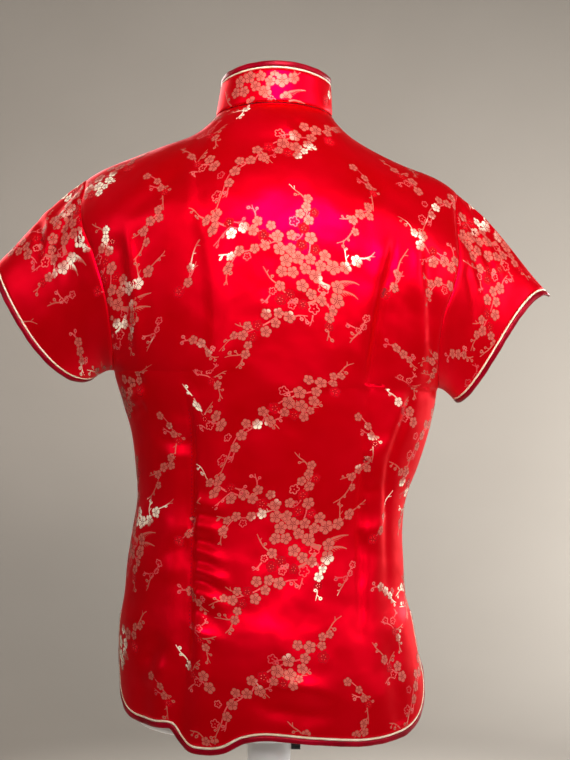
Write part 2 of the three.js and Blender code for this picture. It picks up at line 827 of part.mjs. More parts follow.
// Loop side of a frog: a folded cord on the right front whose bight passes round the ball.
function makeFrogLoop(name, z) {
  const middle = along(torso, "centre", "z", z);
  const bight = 5.9;
  const beside = frog.cord + 0.25;
  const route = [
    { x: -frog.length, up: beside },
    { x: -34, up: beside },
    { x: -19, up: beside },
    { x: -9.5, up: beside + 0.3 },
  ];
  for (let i = 0; i <= 8; i += 1) {
    const turn = ((140 - 35 * i) * Math.PI) / 180;
    route.push({ x: bight * Math.cos(turn), up: bight * Math.sin(turn) });
  }
  route.push(
    { x: -9.5, up: -beside - 0.3 },
    { x: -19, up: -beside },
    { x: -34, up: -beside },
    { x: -frog.length, up: -beside },
  );
  const lift = frog.clear + frog.cord;
  const places = route.map((stop) => frontPlace(middle + stop.x, z + stop.up, lift));
  const sections = places.map((place, i) => {
    const before = places[Math.max(i - 1, 0)].point;
    const after = places[Math.min(i + 1, places.length - 1)].point;
    return cordSection(place, after.clone().sub(before).normalize(), [frog.cord, frog.cord], 5);
  });
  addPart(name, sweptGeometry(sections, false), colours.binding, 0.4);
}

// Is a place inside the cloth by at least the form's clearance?
function insideCloth(x, y, z, gap) {
  const centre = along(torso, "centre", "z", z);
  const side = x >= centre ? 1 : -1;
  const face = y >= 0 ? 1 : -1;
  const hole = armholeOf(side);
  const limit = z > hole.under ? along(hole.seam, "x", "z", z) : Math.abs(centre + side * panelEdge(face, side, z).half);
  if (Math.abs(x) > limit - gap - 1) return false;
  if (panelTop(face, x).z - z < gap * 1.08) return false;
  const depth = bodyDepth(face, x, z);
  const slopeUp = bodyDepth(face, x, z - 0.5) - depth;
  const slopeAcross = bodyDepth(face, x - 0.5, z) - depth;
  const steep = Math.hypot(1, 2 * slopeUp, 2 * slopeAcross);
  return Math.abs(y) < depth - gap * steep;
}

function formRing(z, inset) {
  const gap = along(formClear, "gap", "z", z) + inset;
  const centre = along(torso, "centre", "z", z);
  const points = [];
  for (let i = 0; i < formSides; i += 1) {
    const turn = (2 * Math.PI * i) / formSides;
    let inner = 0;
    let outer = 220;
    for (let pass = 0; pass < 26; pass += 1) {
      const reach = (inner + outer) / 2;
      if (insideCloth(centre + reach * Math.sin(turn), reach * Math.cos(turn), z, gap)) inner = reach;
      else outer = reach;
    }
    points.push(new THREE.Vector3(centre + inner * Math.sin(turn), inner * Math.cos(turn), z));
  }
  return points;
}

function neckRing(z, inset) {
  const points = [];
  for (let i = 0; i < formSides; i += 1) {
    const turn = (2 * Math.PI * i) / formSides;
    const deep = Math.cos(turn) > 0 ? formNeck.back : formNeck.front;
    const x = neck.centre + (formNeck.half - inset) * Math.sin(turn);
    points.push(new THREE.Vector3(x, (deep - inset) * Math.cos(turn), z));
  }
  return points;
}

function makeForm() {
  const bottom = formRing(formBottom.roundZ, formBottom.inset).map((p) => p.setZ(formBottom.z));
  const sections = [bottom, formRing(formBottom.roundZ, formBottom.roundInset)];
  formRings.forEach((z) => sections.push(formRing(z, 0)));
  sections.push(neckRing(formNeck.from, 0));
  sections.push(neckRing(formNeck.top - 3, 0));
  sections.push(neckRing(formNeck.top, formNeck.edge));
  addPart("form_torso", sweptGeometry(sections, false), colours.shell, 0.3);
}

// Turned body on the stand's axis from radius and height pairs, listed from the bottom up.
function turned(profile) {
  const sections = profile.map(([radius, z]) => {
    const points = [];
    for (let i = 0; i < turnSides; i += 1) {
      const turn = (2 * Math.PI * i) / turnSides;
      points.push(new THREE.Vector3(radius * Math.sin(turn), radius * Math.cos(turn), z));
    }
    return points;
  });
  return sweptGeometry(sections, false);
}

function makeStand() {
  addPart(
    "form_base",
    turned([
      [base.radius, 0],
      [base.radius, base.edge],
      [base.radius - 6, base.top],
      [base.hubRadius + 6, base.top + 3],
      [base.hubRadius, base.hub],
    ]),
    colours.metal,
    0.3,
  );
  addPart(
    "form_pole",
    turned([
      [pole.radius, base.hub + seamGap],
      [pole.radius, socket.bottom - seamGap],
    ]),
    colours.metal,
    0.25,
  );
  addPart(
    "form_socket",
    turned([
      [socket.bottomRadius, socket.bottom],
      [socket.midRadius, socket.mid],
      [socket.topRadius, socket.top],
    ]),
    colours.shell,
    0.3,
  );
}

function makeKnob() {
  const sections = [0, knob.length].map((run) => {
    const points = [];
    for (let i = 0; i < 16; i += 1) {
      const turn = (2 * Math.PI * i) / 16;
      const x = -socket.topRadius - 0.1 - run;
      points.push(new THREE.Vector3(x, knob.radius * Math.cos(turn), knob.z + knob.radius * Math.sin(turn)));
    }
    return points;
  });
  addPart("form_knob", sweptGeometry(sections, false), colours.dark, 0.5);
}

const backGrid = makeBack();
const frontLeftGrid = makeFront("front_left", 1);
const frontRightGrid = makeFront("front_right", -1);
const lastBack = backGrid.length - 1;
const lastFront = frontLeftGrid.length - 1;
const loopLeft = armholeLoop(backGrid[lastBack], frontLeftGrid[lastFront]);
const loopRight = armholeLoop(backGrid[0], frontRightGrid[lastFront]);
makeSleeve("sleeve_left", "cuff_left", 1, loopLeft, cuffLeft);
makeSleeve("sleeve_right", "cuff_right", -1, loopRight, cuffRight);
makeCollar();
frogHeights.forEach((z, i) => {
  makeFrogKnot("frog_" + (i + 1) + "_knot", z);
  makeFrogLoop("frog_" + (i + 1) + "_loop", z);
});
makeForm();
makeStand();
makeKnob();

export default root;
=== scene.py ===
# Short-sleeved brocade blouse on a limbless dress form with its stand.
# Metres, +Z up, the blouse's front faces -Y and +X is the wearer's left. Cloth is worked out in millimetres.
import math
import bpy
import numpy as np
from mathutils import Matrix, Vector
from mathutils.bvhtree import BVHTree


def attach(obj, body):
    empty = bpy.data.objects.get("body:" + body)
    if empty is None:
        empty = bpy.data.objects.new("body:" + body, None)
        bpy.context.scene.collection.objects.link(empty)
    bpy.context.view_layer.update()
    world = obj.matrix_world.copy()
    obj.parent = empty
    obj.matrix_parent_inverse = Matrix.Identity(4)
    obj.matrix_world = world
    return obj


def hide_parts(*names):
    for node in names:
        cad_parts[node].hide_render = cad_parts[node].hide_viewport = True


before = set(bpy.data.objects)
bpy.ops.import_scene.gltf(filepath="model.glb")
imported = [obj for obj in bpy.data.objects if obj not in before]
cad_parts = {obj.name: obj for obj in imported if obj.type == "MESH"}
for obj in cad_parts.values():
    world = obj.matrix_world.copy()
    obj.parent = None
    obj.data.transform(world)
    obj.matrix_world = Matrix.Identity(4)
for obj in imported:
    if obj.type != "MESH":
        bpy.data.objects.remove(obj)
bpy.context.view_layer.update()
mm = 0.001
print("stage: frame loaded", len(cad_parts), "nodes")

# cut of the blouse, as in the part's source
torso = {  # height: centre, half width, depth of back, depth of front
    225: (-3, 151, 104, 110), 276: (-3, 151, 103, 108), 308: (0.5, 148.5, 101, 107), 340: (3, 145, 97, 104),
    364: (4, 140, 93, 102), 396: (3.5, 137.5, 89, 101), 428: (1.5, 134.5, 86, 101), 460: (-3, 134, 86, 103),
    492: (-8, 141, 89, 108), 524: (-11, 148, 93, 114), 556: (-10, 156, 98, 119), 584: (-7, 161, 101, 121),
    620: (-6, 163, 104, 120), 660: (-5, 165, 106, 116), 700: (-5, 168, 107, 111), 740: (-5, 172, 106, 107),
    780: (-5, 178, 103, 103), 842: (-5, 178, 98, 98),
}
torsoCentre = [(z, row[0]) for z, row in torso.items()]
torsoHalf = [(z, row[1]) for z, row in torso.items()]
torsoDepth = {1: [(z, row[2]) for z, row in torso.items()], -1: [(z, row[3]) for z, row in torso.items()]}
bust = {"out": 80, "z": 603, "rise": 12, "across": 36, "tall": 48}
armholes = {
    1: {
        "under": 584, "tip": 776, "deep": {1: 66, -1: 60},
        "seam": [
            (584, 154), (612, 151), (654, 155), (698, 168), (724, 179), (745, 182), (765, 181), (776, 182),
        ],
    },
    -1: {
        "under": 567, "tip": 762, "deep": {1: 66, -1: 60},
        "seam": [
            (567, 168), (600, 164), (635, 167), (660, 176), (690, 183), (725, 183), (748, 184), (762, 188),
        ],
    },
}
armholeTaper = 0.35
edgeClear = {"tip": 0.5, "ridge": 0.5, "turn": 0.9999}  # holds a panel's edge off the places without an angle
shoulders = {
    1: [(53.5, 838), (58, 828), (69, 820), (97, 812), (118, 804), (139, 796), (162, 788), (182, 776)],
    -1: [
        (63.5, 838), (65.5, 828), (75, 820), (89, 812), (103, 804), (119, 796), (137, 788), (162, 780),
        (178, 771), (188, 762),
    ],
}
easedRidge = [
    (-188, 762), (-140, 788), (-100, 806), (-60, 823), (0, 835), (60, 827), (101, 812), (142, 796),
    (182, 776),
]
archReach = {"middle": 105, "shoulder": 85, "width": 150, "ease": 60}
neck = {"centre": -5, "half": 58.5, "back": 52, "front": 62, "zBack": 842, "zSide": 838, "zFront": 800}
collarTop = {"centre": -7, "half": 54.5, "back": 50, "front": 56, "zBack": 882, "zSide": 875, "zFront": 852}
neckBow = {"depth": 0.9, "dip": 1.5}  # powers that round the front of a neck ring out and down
hems = {
    1: [
        (-152, 240), (-125, 235), (-94, 234), (-50, 239), (0, 244), (24, 241), (44, 231), (62, 229),
        (74, 231), (83, 238), (91, 248), (110, 248), (150, 249),
    ],
    -1: [(-152, 243), (-60, 238), (0, 236), (60, 238), (150, 246)],
}
hemProbe = {"z": 250.0, "points": 25}  # height where a column's place is read, points of its arc to the slit
slit = {"top": 356, "start": 346, "cornerAcross": 56, "cornerUp": 42, "open": 5}
seam = {"half": 0.2, "gap": 0.3, "frontHalf": 0.35}
rim = {"piping": 0.9, "bindingWidth": 5.2, "bindingThick": 2.5, "wall": 1.3}
rimWidth = 2 * seam["gap"] + 2 * rim["piping"] + rim["bindingWidth"]
rows = {"hem": 4, "slit": 5, "under": 11, "top": 23}


def curveAt(table, at):
    keys = np.array([row[0] for row in table], float)
    vals = np.array([row[1] for row in table], float)
    at = np.clip(np.asarray(at, float), keys[0], keys[-1])
    i = np.clip(np.searchsorted(keys, at, side="right") - 1, 0, len(keys) - 2)
    before, after = np.maximum(i - 1, 0), np.minimum(i + 2, len(keys) - 1)
    span = keys[i + 1] - keys[i]
    t = (at - keys[i]) / span
    slopeIn = (vals[i + 1] - vals[before]) / (keys[i + 1] - keys[before]) * span
    slopeOut = (vals[after] - vals[i]) / (keys[after] - keys[i]) * span
    t2, t3 = t * t, t ** 3
    held = (2 * t3 - 3 * t2 + 1) * vals[i] + (3 * t2 - 2 * t3) * vals[i + 1]
    return held + (t3 - 2 * t2 + t) * slopeIn + (t3 - t2) * slopeOut


def mix(a, b, t):
    return a + (b - a) * t


def smoothStep(low, high, at):
    t = np.clip((at - low) / (high - low), 0, 1)
    return t * t * (3 - 2 * t)


def bell(distance, spread):
    return np.exp(-distance * distance / (2 * spread * spread))


def unit(vectors):
    return vectors / np.maximum(np.linalg.norm(vectors, axis=-1, keepdims=True), 1e-9)


def neckPoint(angle, ring):  # angle 0 at the back, +-90 degrees at the shoulders, 180 at the front
    c, s = np.cos(angle), np.sin(angle)
    fore = np.maximum(-c, 0)
    y = np.where(c >= 0, ring["back"] * c, -ring["front"] * fore ** neckBow["depth"])
    zBack = mix(ring["zBack"], ring["zSide"], s * s)
    zFront = mix(ring["zSide"], ring["zFront"], fore ** neckBow["dip"])
    z = np.where(c >= 0, zBack, zFront)
    return np.stack([ring["centre"] + ring["half"] * s, y, z], -1)


def panelTop(face, x):  # depth and height of a panel's top edge
    turn = np.arcsin(np.clip((x - neck["centre"]) / neck["half"], -1, 1))
    point = neckPoint(turn if face > 0 else np.pi - turn, neck)
    inNeck = np.abs(x - neck["centre"]) < neck["half"]
    shoulder = np.where(x > 0, curveAt(shoulders[1], np.abs(x)), curveAt(shoulders[-1], np.abs(x)))
    return np.where(inNeck, np.abs(point[..., 1]), 0), np.where(inNeck, point[..., 2], shoulder)


def reachAt(x):
    aside = smoothStep(0, archReach["width"], np.abs(x - neck["centre"]))
    return mix(archReach["middle"], archReach["shoulder"], aside)


def archAt(x, drop):
    rest = 1 - np.clip(drop / reachAt(x), 0, 1)
    return np.sqrt(np.maximum(1 - rest * rest, 0))


def depthAt(face, z):
    return curveAt(torsoDepth[face], z)


def ridgeDrop(face, x, z, overNeck=True):
    topY, topZ = panelTop(face, x)
    ridge = topZ
    if overNeck:
        share = np.minimum(topY / np.maximum(fullDepth(face, x, topZ), 1e-6), 1)
        raised = topZ + reachAt(x) * (1 - np.sqrt(1 - share * share))
        ridge = np.where(np.abs(x - neck["centre"]) < neck["half"], raised, topZ)
    eased = smoothStep(0, archReach["ease"], topZ - z)
    return mix(ridge, curveAt(easedRidge, x), eased) - z


def slitSetback(z):
    shut = seam["half"] + rimWidth
    closing = mix(shut, seam["half"], (z - slit["start"]) / (slit["top"] - slit["start"]))
    opened = shut + slit["open"] * (slit["start"] - z) / slit["start"]
    return np.where(z >= slit["top"], seam["half"], np.where(z >= slit["start"], closing, opened))


def panelEdge(face, side, z):  # angle and half width at a panel's edge
    hole = armholes[side]
    z = np.asarray(z, float)
    centre = curveAt(torsoCentre, z)
    low = np.arccos(slitSetback(z) / depthAt(face, z))
    height = np.minimum(z, hole["tip"] - edgeClear["tip"])
    t = np.clip((height - hole["under"]) / (hole["tip"] - hole["under"]), 0, 1)
    bow = np.sqrt(np.maximum(1 - (1 - 2 * t) ** 2, 0))
    y = seam["half"] + hole["deep"][face] * bow * (1 - armholeTaper * t * t)
    x = curveAt(hole["seam"], z)
    arch = archAt(side * x, np.maximum(ridgeDrop(face, side * x, height, False), edgeClear["ridge"]))
    high = np.arccos(np.minimum(y / (depthAt(face, height) * arch), edgeClear["turn"]))
    half = np.abs(side * x - centre) / np.sin(high)
    below = z <= hole["under"]
    return np.where(below, low, high), np.where(below, curveAt(torsoHalf, z), half)


def sidedEdge(face, positive, z):
    angleA, halfA = panelEdge(face, 1, z)
    angleB, halfB = panelEdge(face, -1, z)
    return np.where(positive, angleA, angleB), np.where(positive, halfA, halfB)


def fullDepth(face, x, z):
    centre = curveAt(torsoCentre, z)
    half = sidedEdge(face, x >= centre, z)[1]
    across = np.minimum(np.abs(x - centre) / half, 1)
    return depthAt(face, z) * np.sqrt(1 - across * across)


def bodyDepth(face, x, z):
    full = fullDepth(face, x, z)
    y = full * archAt(x, ridgeDrop(face, x, z))
    if face > 0:
        return y
    out = np.abs(x - curveAt(torsoCentre, z)) - bust["out"]
    swell = bust["rise"] * bell(out, bust["across"]) * bell(z - bust["z"], bust["tall"])
    return y + swell * full / depthAt(face, z)


def panelPoint(face, share, z):
    share, z = np.broadcast_arrays(np.asarray(share, float), np.asarray(z, float))
    side = np.where(share >= 0, 1, -1)
    angle, half = sidedEdge(face, share >= 0, z)
    centre = curveAt(torsoCentre, z)
    x = centre + half * np.sin(share * angle)
    if face < 0:
        x = np.where(np.abs(x - centre) < seam["frontHalf"], centre + side * seam["frontHalf"], x)
    y = np.maximum(bodyDepth(face, x, z), seam["half"])
    return np.stack([x, face * y, z], -1)


def columnTop(face, share):
    share = np.asarray(share, float)
    tip = np.where(share >= 0, armholes[1]["tip"], armholes[-1]["tip"]).astype(float)
    angle, half = sidedEdge(face, share >= 0, tip)
    return panelTop(face, curveAt(torsoCentre, tip) + half * np.sin(share * angle))[1]


def columnBottom(face, share):
    share = np.asarray(share, float)
    edge = np.where(share >= 0, 1.0, -1.0)
    z = curveAt(hems[face], panelPoint(face, share, hemProbe["z"])[..., 0]) + rimWidth
    steps = np.linspace(0, 1, hemProbe["points"])[:, None]
    run = panelPoint(face, mix(edge, share, steps), np.broadcast_to(z, (hemProbe["points"], len(share))))
    arc = np.linalg.norm(np.diff(run, axis=0), axis=-1).sum(0)
    short = np.maximum(1 - arc / slit["cornerAcross"], 0)
    return z + slit["cornerUp"] * (1 - np.sqrt(1 - short * short))


def rowHeights(face, share, row):  # share down the first axis, row along the second
    bottom, top = columnBottom(face, share)[:, None], columnTop(face, share)[:, None]
    under = mix(armholes[-1]["under"], armholes[1]["under"], (share[:, None] + 1) / 2)
    row = row[None, :]
    hem = mix(bottom, slit["start"], row / rows["hem"])
    vent = mix(slit["start"], slit["top"], row - rows["hem"])
    sideSeam = mix(slit["top"], under, (row - rows["slit"]) / (rows["under"] - rows["slit"]))
    turn = (1 - np.cos(np.pi * (row - rows["under"]) / (rows["top"] - rows["under"]))) / 2
    z = np.where(row <= rows["under"], sideSeam, mix(under, top, turn))
    return np.where(row <= rows["hem"], hem, np.where(row <= rows["slit"], vent, z))


# fine grids of the cloth
ease = {"from": 700, "full": 760, "passes": 60, "pull": 0.6}  # smoothing above the armholes
seamRoll = {"deep": 0.75, "spread": 1.7, "rows": (-2, 3)}  # the cloth turns in where it is sewn
creaseFade = {"panel": 18, "sleeve": 8}  # creases run out this near the side seams
columnFine = {  # columns of half a panel, and the share of it that crowds towards the corner
    "neck": 25, "shoulder": 33, "corner": 19, "cornerFrom": 0.71, "cornerSpan": 0.29,
}
rowCounts = {"hem": 40, "slit": 3, "under": 72, "top": 106}  # fine rows in each stretch of a panel
rowEnds = [0, *rows.values()]
rowRuns = zip(rowEnds, rowEnds[1:], rowCounts.values())
fineRows = np.concatenate([[0.0]] + [np.linspace(low, high, count + 1)[1:] for low, high, count in rowRuns])
slitRow = rowCounts["hem"]  # the rim ends here
ventRow = slitRow + rowCounts["slit"]  # the side seam starts here


def polyDistance(x, z, line):  # signed distance to a drawn line and the share of its run
    line = np.array(line, float)
    best, run = np.full(x.shape, 1e9), np.zeros(x.shape)
    for k in range(len(line) - 1):
        a, ab = line[k], line[k + 1] - line[k]
        t = np.clip(((x - a[0]) * ab[0] + (z - a[1]) * ab[1]) / (ab @ ab), 0, 1)
        dx, dz = x - a[0] - t * ab[0], z - a[1] - t * ab[1]
        away = np.hypot(dx, dz) * np.where(ab[0] * dz - ab[1] * dx >= 0, 1, -1)
        closer = np.abs(away) < np.abs(best)
        best, run = np.where(closer, away, best), np.where(closer, (k + t) / (len(line) - 1), run)
    return best, run


def creaseHeight(x, z, creases):
    # Each crease is a line, its height (below 0 sinks in), its spread, the shares of its run that fade in and
    # out, and for some a lip beside it: how far away, how high and how wide.
    total = np.zeros(x.shape)
    for line, height, spread, fadeIn, fadeOut, *lip in creases:
        away, run = polyDistance(x, z, line)
        fade = smoothStep(0, max(fadeIn, 1e-3), run) * (1 - smoothStep(1 - max(fadeOut, 1e-3), 1.001, run))
        total += height * bell(away, spread) * fade
        if lip:
            total += lip[1] * bell(away - lip[0], lip[2]) * fade
    return total


def gridNormals(grid, outward):
    normal = unit(np.cross(np.gradient(grid, axis=0), np.gradient(grid, axis=1)))
    return normal if (normal * outward).sum(-1).mean() > 0 else -normal


def easeGrid(grid, weight):
    for _ in range(ease["passes"]):
        middle = (grid[:-2, 1:-1] + grid[2:, 1:-1] + grid[1:-1, :-2] + grid[1:-1, 2:]) / 4
        grid[1:-1, 1:-1] += weight[1:-1, 1:-1, None] * ease["pull"] * (middle - grid[1:-1, 1:-1])
    return grid


def runUp(steps, axis=0):  # lengths added up along an axis, from 0
    return np.insert(np.cumsum(steps, axis), 0, 0, axis)


def runLength(points):
    return runUp(np.linalg.norm(np.diff(points, axis=0), axis=-1))


def halfShares(face, side):  # neck, shoulder and corner columns of half a panel
    tip = armholes[side]["tip"]
    angle, half = (float(v) for v in panelEdge(face, side, float(tip)))
    centre = float(curveAt(torsoCentre, tip))
    turns = np.radians(np.linspace(0, 90, columnFine["neck"]))
    atNeck = np.arcsin((neck["half"] * np.sin(turns) + side * (neck["centre"] - centre)) / half) / angle
    atNeck[0] = 0
    plain = np.linspace(atNeck[-1], columnFine["cornerFrom"], columnFine["shoulder"])[1:]
    corner = np.sin(np.linspace(0, np.pi / 2, columnFine["corner"])[1:])
    return np.concatenate([atNeck, plain, 1 - columnFine["cornerSpan"] * (1 - corner)])


def makePanel(face, shares, creases):
    z = rowHeights(face, shares, fineRows)
    grid = panelPoint(face, np.broadcast_to(shares[:, None], z.shape), z)
    grid = easeGrid(grid, smoothStep(ease["from"], ease["full"], grid[..., 2]))
    outward = np.array([0.0, face, 0.0])
    fade = smoothStep(0, creaseFade["panel"], np.abs(grid[..., 1]))
    lift = creaseHeight(grid[..., 0], grid[..., 2], creases) * fade
    grid += gridNormals(grid, outward) * lift[..., None]
    u = runUp(np.linalg.norm(np.diff(grid[..., :2], axis=0), axis=-1))
    v = runUp(np.linalg.norm(np.diff(grid, axis=1), axis=-1), 1)
    toTop = v[:, -1:] - v
    low, high = seamRoll["rows"]
    sewn = smoothStep(ventRow + low, ventRow + high, np.arange(grid.shape[1]))[None, :]
    sunk = seamRoll["deep"] * bell(toTop, seamRoll["spread"])
    for edge, isSewn in ((u, shares[0] < -0.5), (u[-1:] - u, shares[-1] > 0.5)):
        if isSewn:
            sunk = np.maximum(sunk, seamRoll["deep"] * bell(edge, seamRoll["spread"]) * sewn)
    grid -= gridNormals(grid, outward) * sunk[..., None]
    middle = int(np.argmin(np.abs(shares)))
    return {"grid": grid, "u": u - u[middle], "v": v - v[:, ventRow:ventRow + 1], "outward": outward}


backCreases = [
    # stitched dart by the wearer's left, then the valley down to the hem
    (
        [(77, 566), (74, 545), (72.4, 520), (72.2, 470), (72.4, 410), (73.5, 345), (78, 300), (84, 250)],
        -2.4, 1.5, 0.06, 0.3, -5, 1.8, 4.5,
    ),
    ([(78, 560), (76, 520), (75, 430), (77, 330), (86, 240)], -4.6, 8, 0.2, 0.0),
    ([(66, 372), (64, 340), (63, 300), (60, 262)], 2.4, 5, 0.35, 0.5),
    ([(92, 528), (88, 508), (82, 490)], 1.6, 7, 0.4, 0.4),
    # long fold that falls from the right shoulder blade, then the bright strip beside it
    (
        [(-119, 712), (-114, 685), (-108, 662), (-102, 626), (-95.5, 574), (-92, 520)],
        -3.4, 2.8, 0.2, 0.4, 8, 3.0, 6.5,
    ),
    ([(-95, 560), (-91.5, 500), (-88.5, 447), (-88, 380), (-89, 320)], -2.6, 2.2, 0.25, 0.35, -9, 3.0, 7),
    ([(-116, 700), (-102, 620), (-94, 560), (-90, 480), (-86, 390), (-90, 260)], -3.2, 9, 0.25, 0.3),
    # second fold into the right waist
    (
        [(-138, 572), (-131, 540), (-122, 517), (-115, 494), (-113.5, 465), (-114, 400), (-116, 340)],
        -3.4, 3.2, 0.15, 0.4, 7, 2.0, 6,
    ),
    # soft folds beside the armholes
    ([(-150, 715), (-150, 680), (-153, 645), (-156, 600), (-150, 560)], -3.2, 4.5, 0.25, 0.3, 8, 2.6, 6),
    ([(146, 722), (140, 690), (137, 655), (136, 620), (136, 585)], -2.6, 7, 0.2, 0.3, -12, 2.8, 4),
    # puckers across the dart
    ([(70, 531), (86, 534), (104, 541)], 2.2, 4.5, 0.05, 0.6),
    ([(74, 516), (92, 517), (112, 524)], -2.0, 4.5, 0.05, 0.6),
    ([(74, 503), (92, 503), (108, 509)], 1.8, 4.5, 0.05, 0.6),
    ([(70, 462), (54, 459), (36, 452)], 2.0, 4.5, 0.05, 0.7),
    ([(70, 451), (52, 448), (34, 440)], -2.2, 3.6, 0.05, 0.7),
    ([(70, 439), (54, 437), (32, 428)], 2.4, 4.6, 0.05, 0.7),
    ([(70, 427), (56, 423), (40, 415)], -2.4, 3.4, 0.05, 0.7),
    ([(70, 417), (52, 412), (30, 402)], 2.4, 4.0, 0.05, 0.7),
    ([(70, 408), (56, 404), (40, 396)], -2.2, 3.2, 0.05, 0.7),
    ([(70, 399), (52, 394), (28, 382)], 2.6, 4.2, 0.05, 0.7),
    ([(70, 390), (56, 386), (38, 376)], -3.0, 3.4, 0.05, 0.7),
    ([(70, 379), (52, 372), (28, 360)], 2.8, 5, 0.05, 0.7),
    ([(70, 362), (56, 356), (36, 346)], -2.0, 4.5, 0.05, 0.7),
    ([(70, 344), (52, 338), (26, 330)], 2.0, 5.5, 0.05, 0.7),
    ([(76, 440), (92, 436), (108, 428)], 0.9, 6, 0.05, 0.7),
    ([(76, 420), (94, 415), (112, 410)], -1.1, 5.5, 0.05, 0.7),
    ([(76, 396), (92, 393), (112, 388)], 0.8, 6, 0.05, 0.7),
    # waist drag lines by the right fold
    ([(-92, 500), (-106, 512), (-124, 530)], 2.0, 5.5, 0.1, 0.6),
    ([(-90, 470), (-104, 474), (-124, 482)], -1.8, 5, 0.1, 0.6),
    ([(-88, 430), (-100, 434), (-120, 446)], 1.8, 6, 0.1, 0.6),
    ([(118, 580), (128, 572), (142, 570)], -2.2, 4, 0.2, 0.5),
    ([(116, 566), (128, 559), (142, 556)], 2.2, 4, 0.2, 0.5),
    ([(116, 552), (128, 546), (140, 544)], -1.8, 4, 0.2, 0.5),
    # long swags between the shoulder blades and under the neck
    ([(-60, 812), (-30, 802), (0, 800), (32, 803), (58, 812)], -1.6, 8, 0.4, 0.4),
    ([(-24, 826), (-34, 812), (-48, 802)], -1.8, 3.2, 0.2, 0.5),
    ([(-14, 828), (-20, 814), (-32, 803)], 1.6, 3.2, 0.2, 0.5),
    ([(58, 800), (84, 770), (118, 742), (142, 726)], -1.8, 7, 0.4, 0.4),
    ([(-64, 800), (-92, 768), (-126, 738), (-150, 722)], -1.8, 7, 0.4, 0.4),
    ([(40, 560), (10, 540), (-20, 536), (-60, 548)], -1.8, 12, 0.5, 0.5),
    ([(10, 298), (-20, 294), (-44, 291), (-72, 282)], 2.2, 7, 0.35, 0.4),
    ([(30, 282), (-10, 274), (-44, 268), (-80, 264)], -2.2, 8, 0.35, 0.4),
    ([(96, 336), (110, 318), (130, 306)], -2.6, 6, 0.3, 0.4),
    ([(92, 314), (108, 296), (128, 286)], 2.2, 7, 0.3, 0.4),
    # falls of the skirt towards the slits
    ([(112, 360), (114, 310), (120, 262), (124, 240)], -2.6, 7, 0.4, 0.0),
    ([(-118, 340), (-120, 300), (-126, 250)], -2.4, 7, 0.4, 0.0),
    ([(0, 330), (-4, 290), (-2, 240)], -1.8, 12, 0.5, 0.0),
]
frontCreases = [  # darts of the bust and waist with the same kind of pulls
    ([(150, 596), (128, 592), (104, 597), (88, 602)], -1.3, 1.8, 0.0, 0.4, 5, 1.0, 5),
    ([(-156, 586), (-132, 586), (-106, 594), (-90, 600)], -1.3, 1.8, 0.0, 0.4, -5, 1.0, 5),
    ([(74, 560), (70, 520), (67, 470), (68, 420), (72, 372)], -1.5, 1.8, 0.2, 0.3, -5, 1.2, 5),
    ([(-82, 556), (-78, 516), (-74, 466), (-72, 416), (-74, 368)], -1.5, 1.8, 0.2, 0.3, 5, 1.2, 5),
    ([(76, 560), (68, 470), (74, 360), (84, 250)], -2.6, 8, 0.2, 0.0),
    ([(-84, 560), (-74, 470), (-76, 360), (-88, 250)], -2.6, 8, 0.2, 0.0),
    ([(64, 452), (44, 447), (26, 440)], 1.2, 6, 0.05, 0.7),
    ([(66, 430), (46, 426), (26, 418)], -1.2, 5, 0.05, 0.7),
    ([(66, 410), (48, 405), (28, 396)], 1.1, 5.5, 0.05, 0.7),
    ([(-70, 462), (-52, 456), (-34, 450)], 1.1, 6, 0.05, 0.7),
    ([(-70, 438), (-52, 434), (-34, 424)], -1.2, 5, 0.05, 0.7),
    ([(-70, 416), (-52, 410), (-34, 402)], 1.1, 5.5, 0.05, 0.7),
    ([(140, 706), (128, 670), (116, 640), (108, 622)], -2.2, 6, 0.2, 0.5, 9, 1.6, 7),
    ([(-144, 694), (-134, 660), (-122, 636), (-110, 620)], -2.0, 6, 0.2, 0.5, -9, 1.5, 7),
    ([(60, 790), (84, 756), (112, 728), (138, 712)], -1.1, 7, 0.4, 0.4),
    ([(-66, 790), (-90, 752), (-118, 722), (-142, 706)], -1.1, 7, 0.4, 0.4),
    ([(112, 350), (116, 300), (122, 246)], -1.8, 7, 0.4, 0.0),
    ([(-116, 350), (-120, 300), (-126, 246)], -1.7, 7, 0.4, 0.0),
    ([(30, 330), (26, 290), (30, 240)], -1.4, 10, 0.5, 0.0),
    ([(-34, 330), (-30, 290), (-34, 240)], -1.3, 10, 0.5, 0.0),
]
leftHalf, rightHalf = halfShares(1, 1), halfShares(1, -1)
endShare = 1e-4  # the fronts' first column, beside the opening
back = makePanel(1, np.concatenate([-rightHalf[:0:-1], leftHalf]), backCreases)
frontLeft = makePanel(-1, np.concatenate([[endShare], halfShares(-1, 1)[1:]]), frontCreases)
frontRight = makePanel(-1, -np.concatenate([[endShare], halfShares(-1, -1)[1:]]), frontCreases)
frontRight["u"] = -np.abs(frontRight["u"])
print("stage: panels", back["grid"].shape, frontLeft["grid"].shape)


# sleeves
cuffs = {
    1: {
        "x": 229, "y": -16, "z": 633.5, "run": 48, "rise": 57.5, "thick": 33,
        "back": 18, "front": -14, "curl": 4.5,
    },
    -1: {
        "x": 236.5, "y": -10, "z": 607, "run": 46.5, "rise": 54, "thick": 33,
        "back": -7, "front": -12, "curl": 6,
    },
}
sleeveFine = {"perRow": 7, "rows": 46, "coarse": 12, "passes": 6}
sleeveHang = {
    "overShoulder": (0.36, 0.93), "clear": 0.1, "forward": -0.25, "roundness": 0.85,
    "leave": 0.6, "fall": 0.6, "straight": 0.4,
}
clothProbe = {"up": 0.6, "share": 0.004, "topLow": 1.6, "topHigh": 0.4, "slope": 0.5}  # steps for the normals


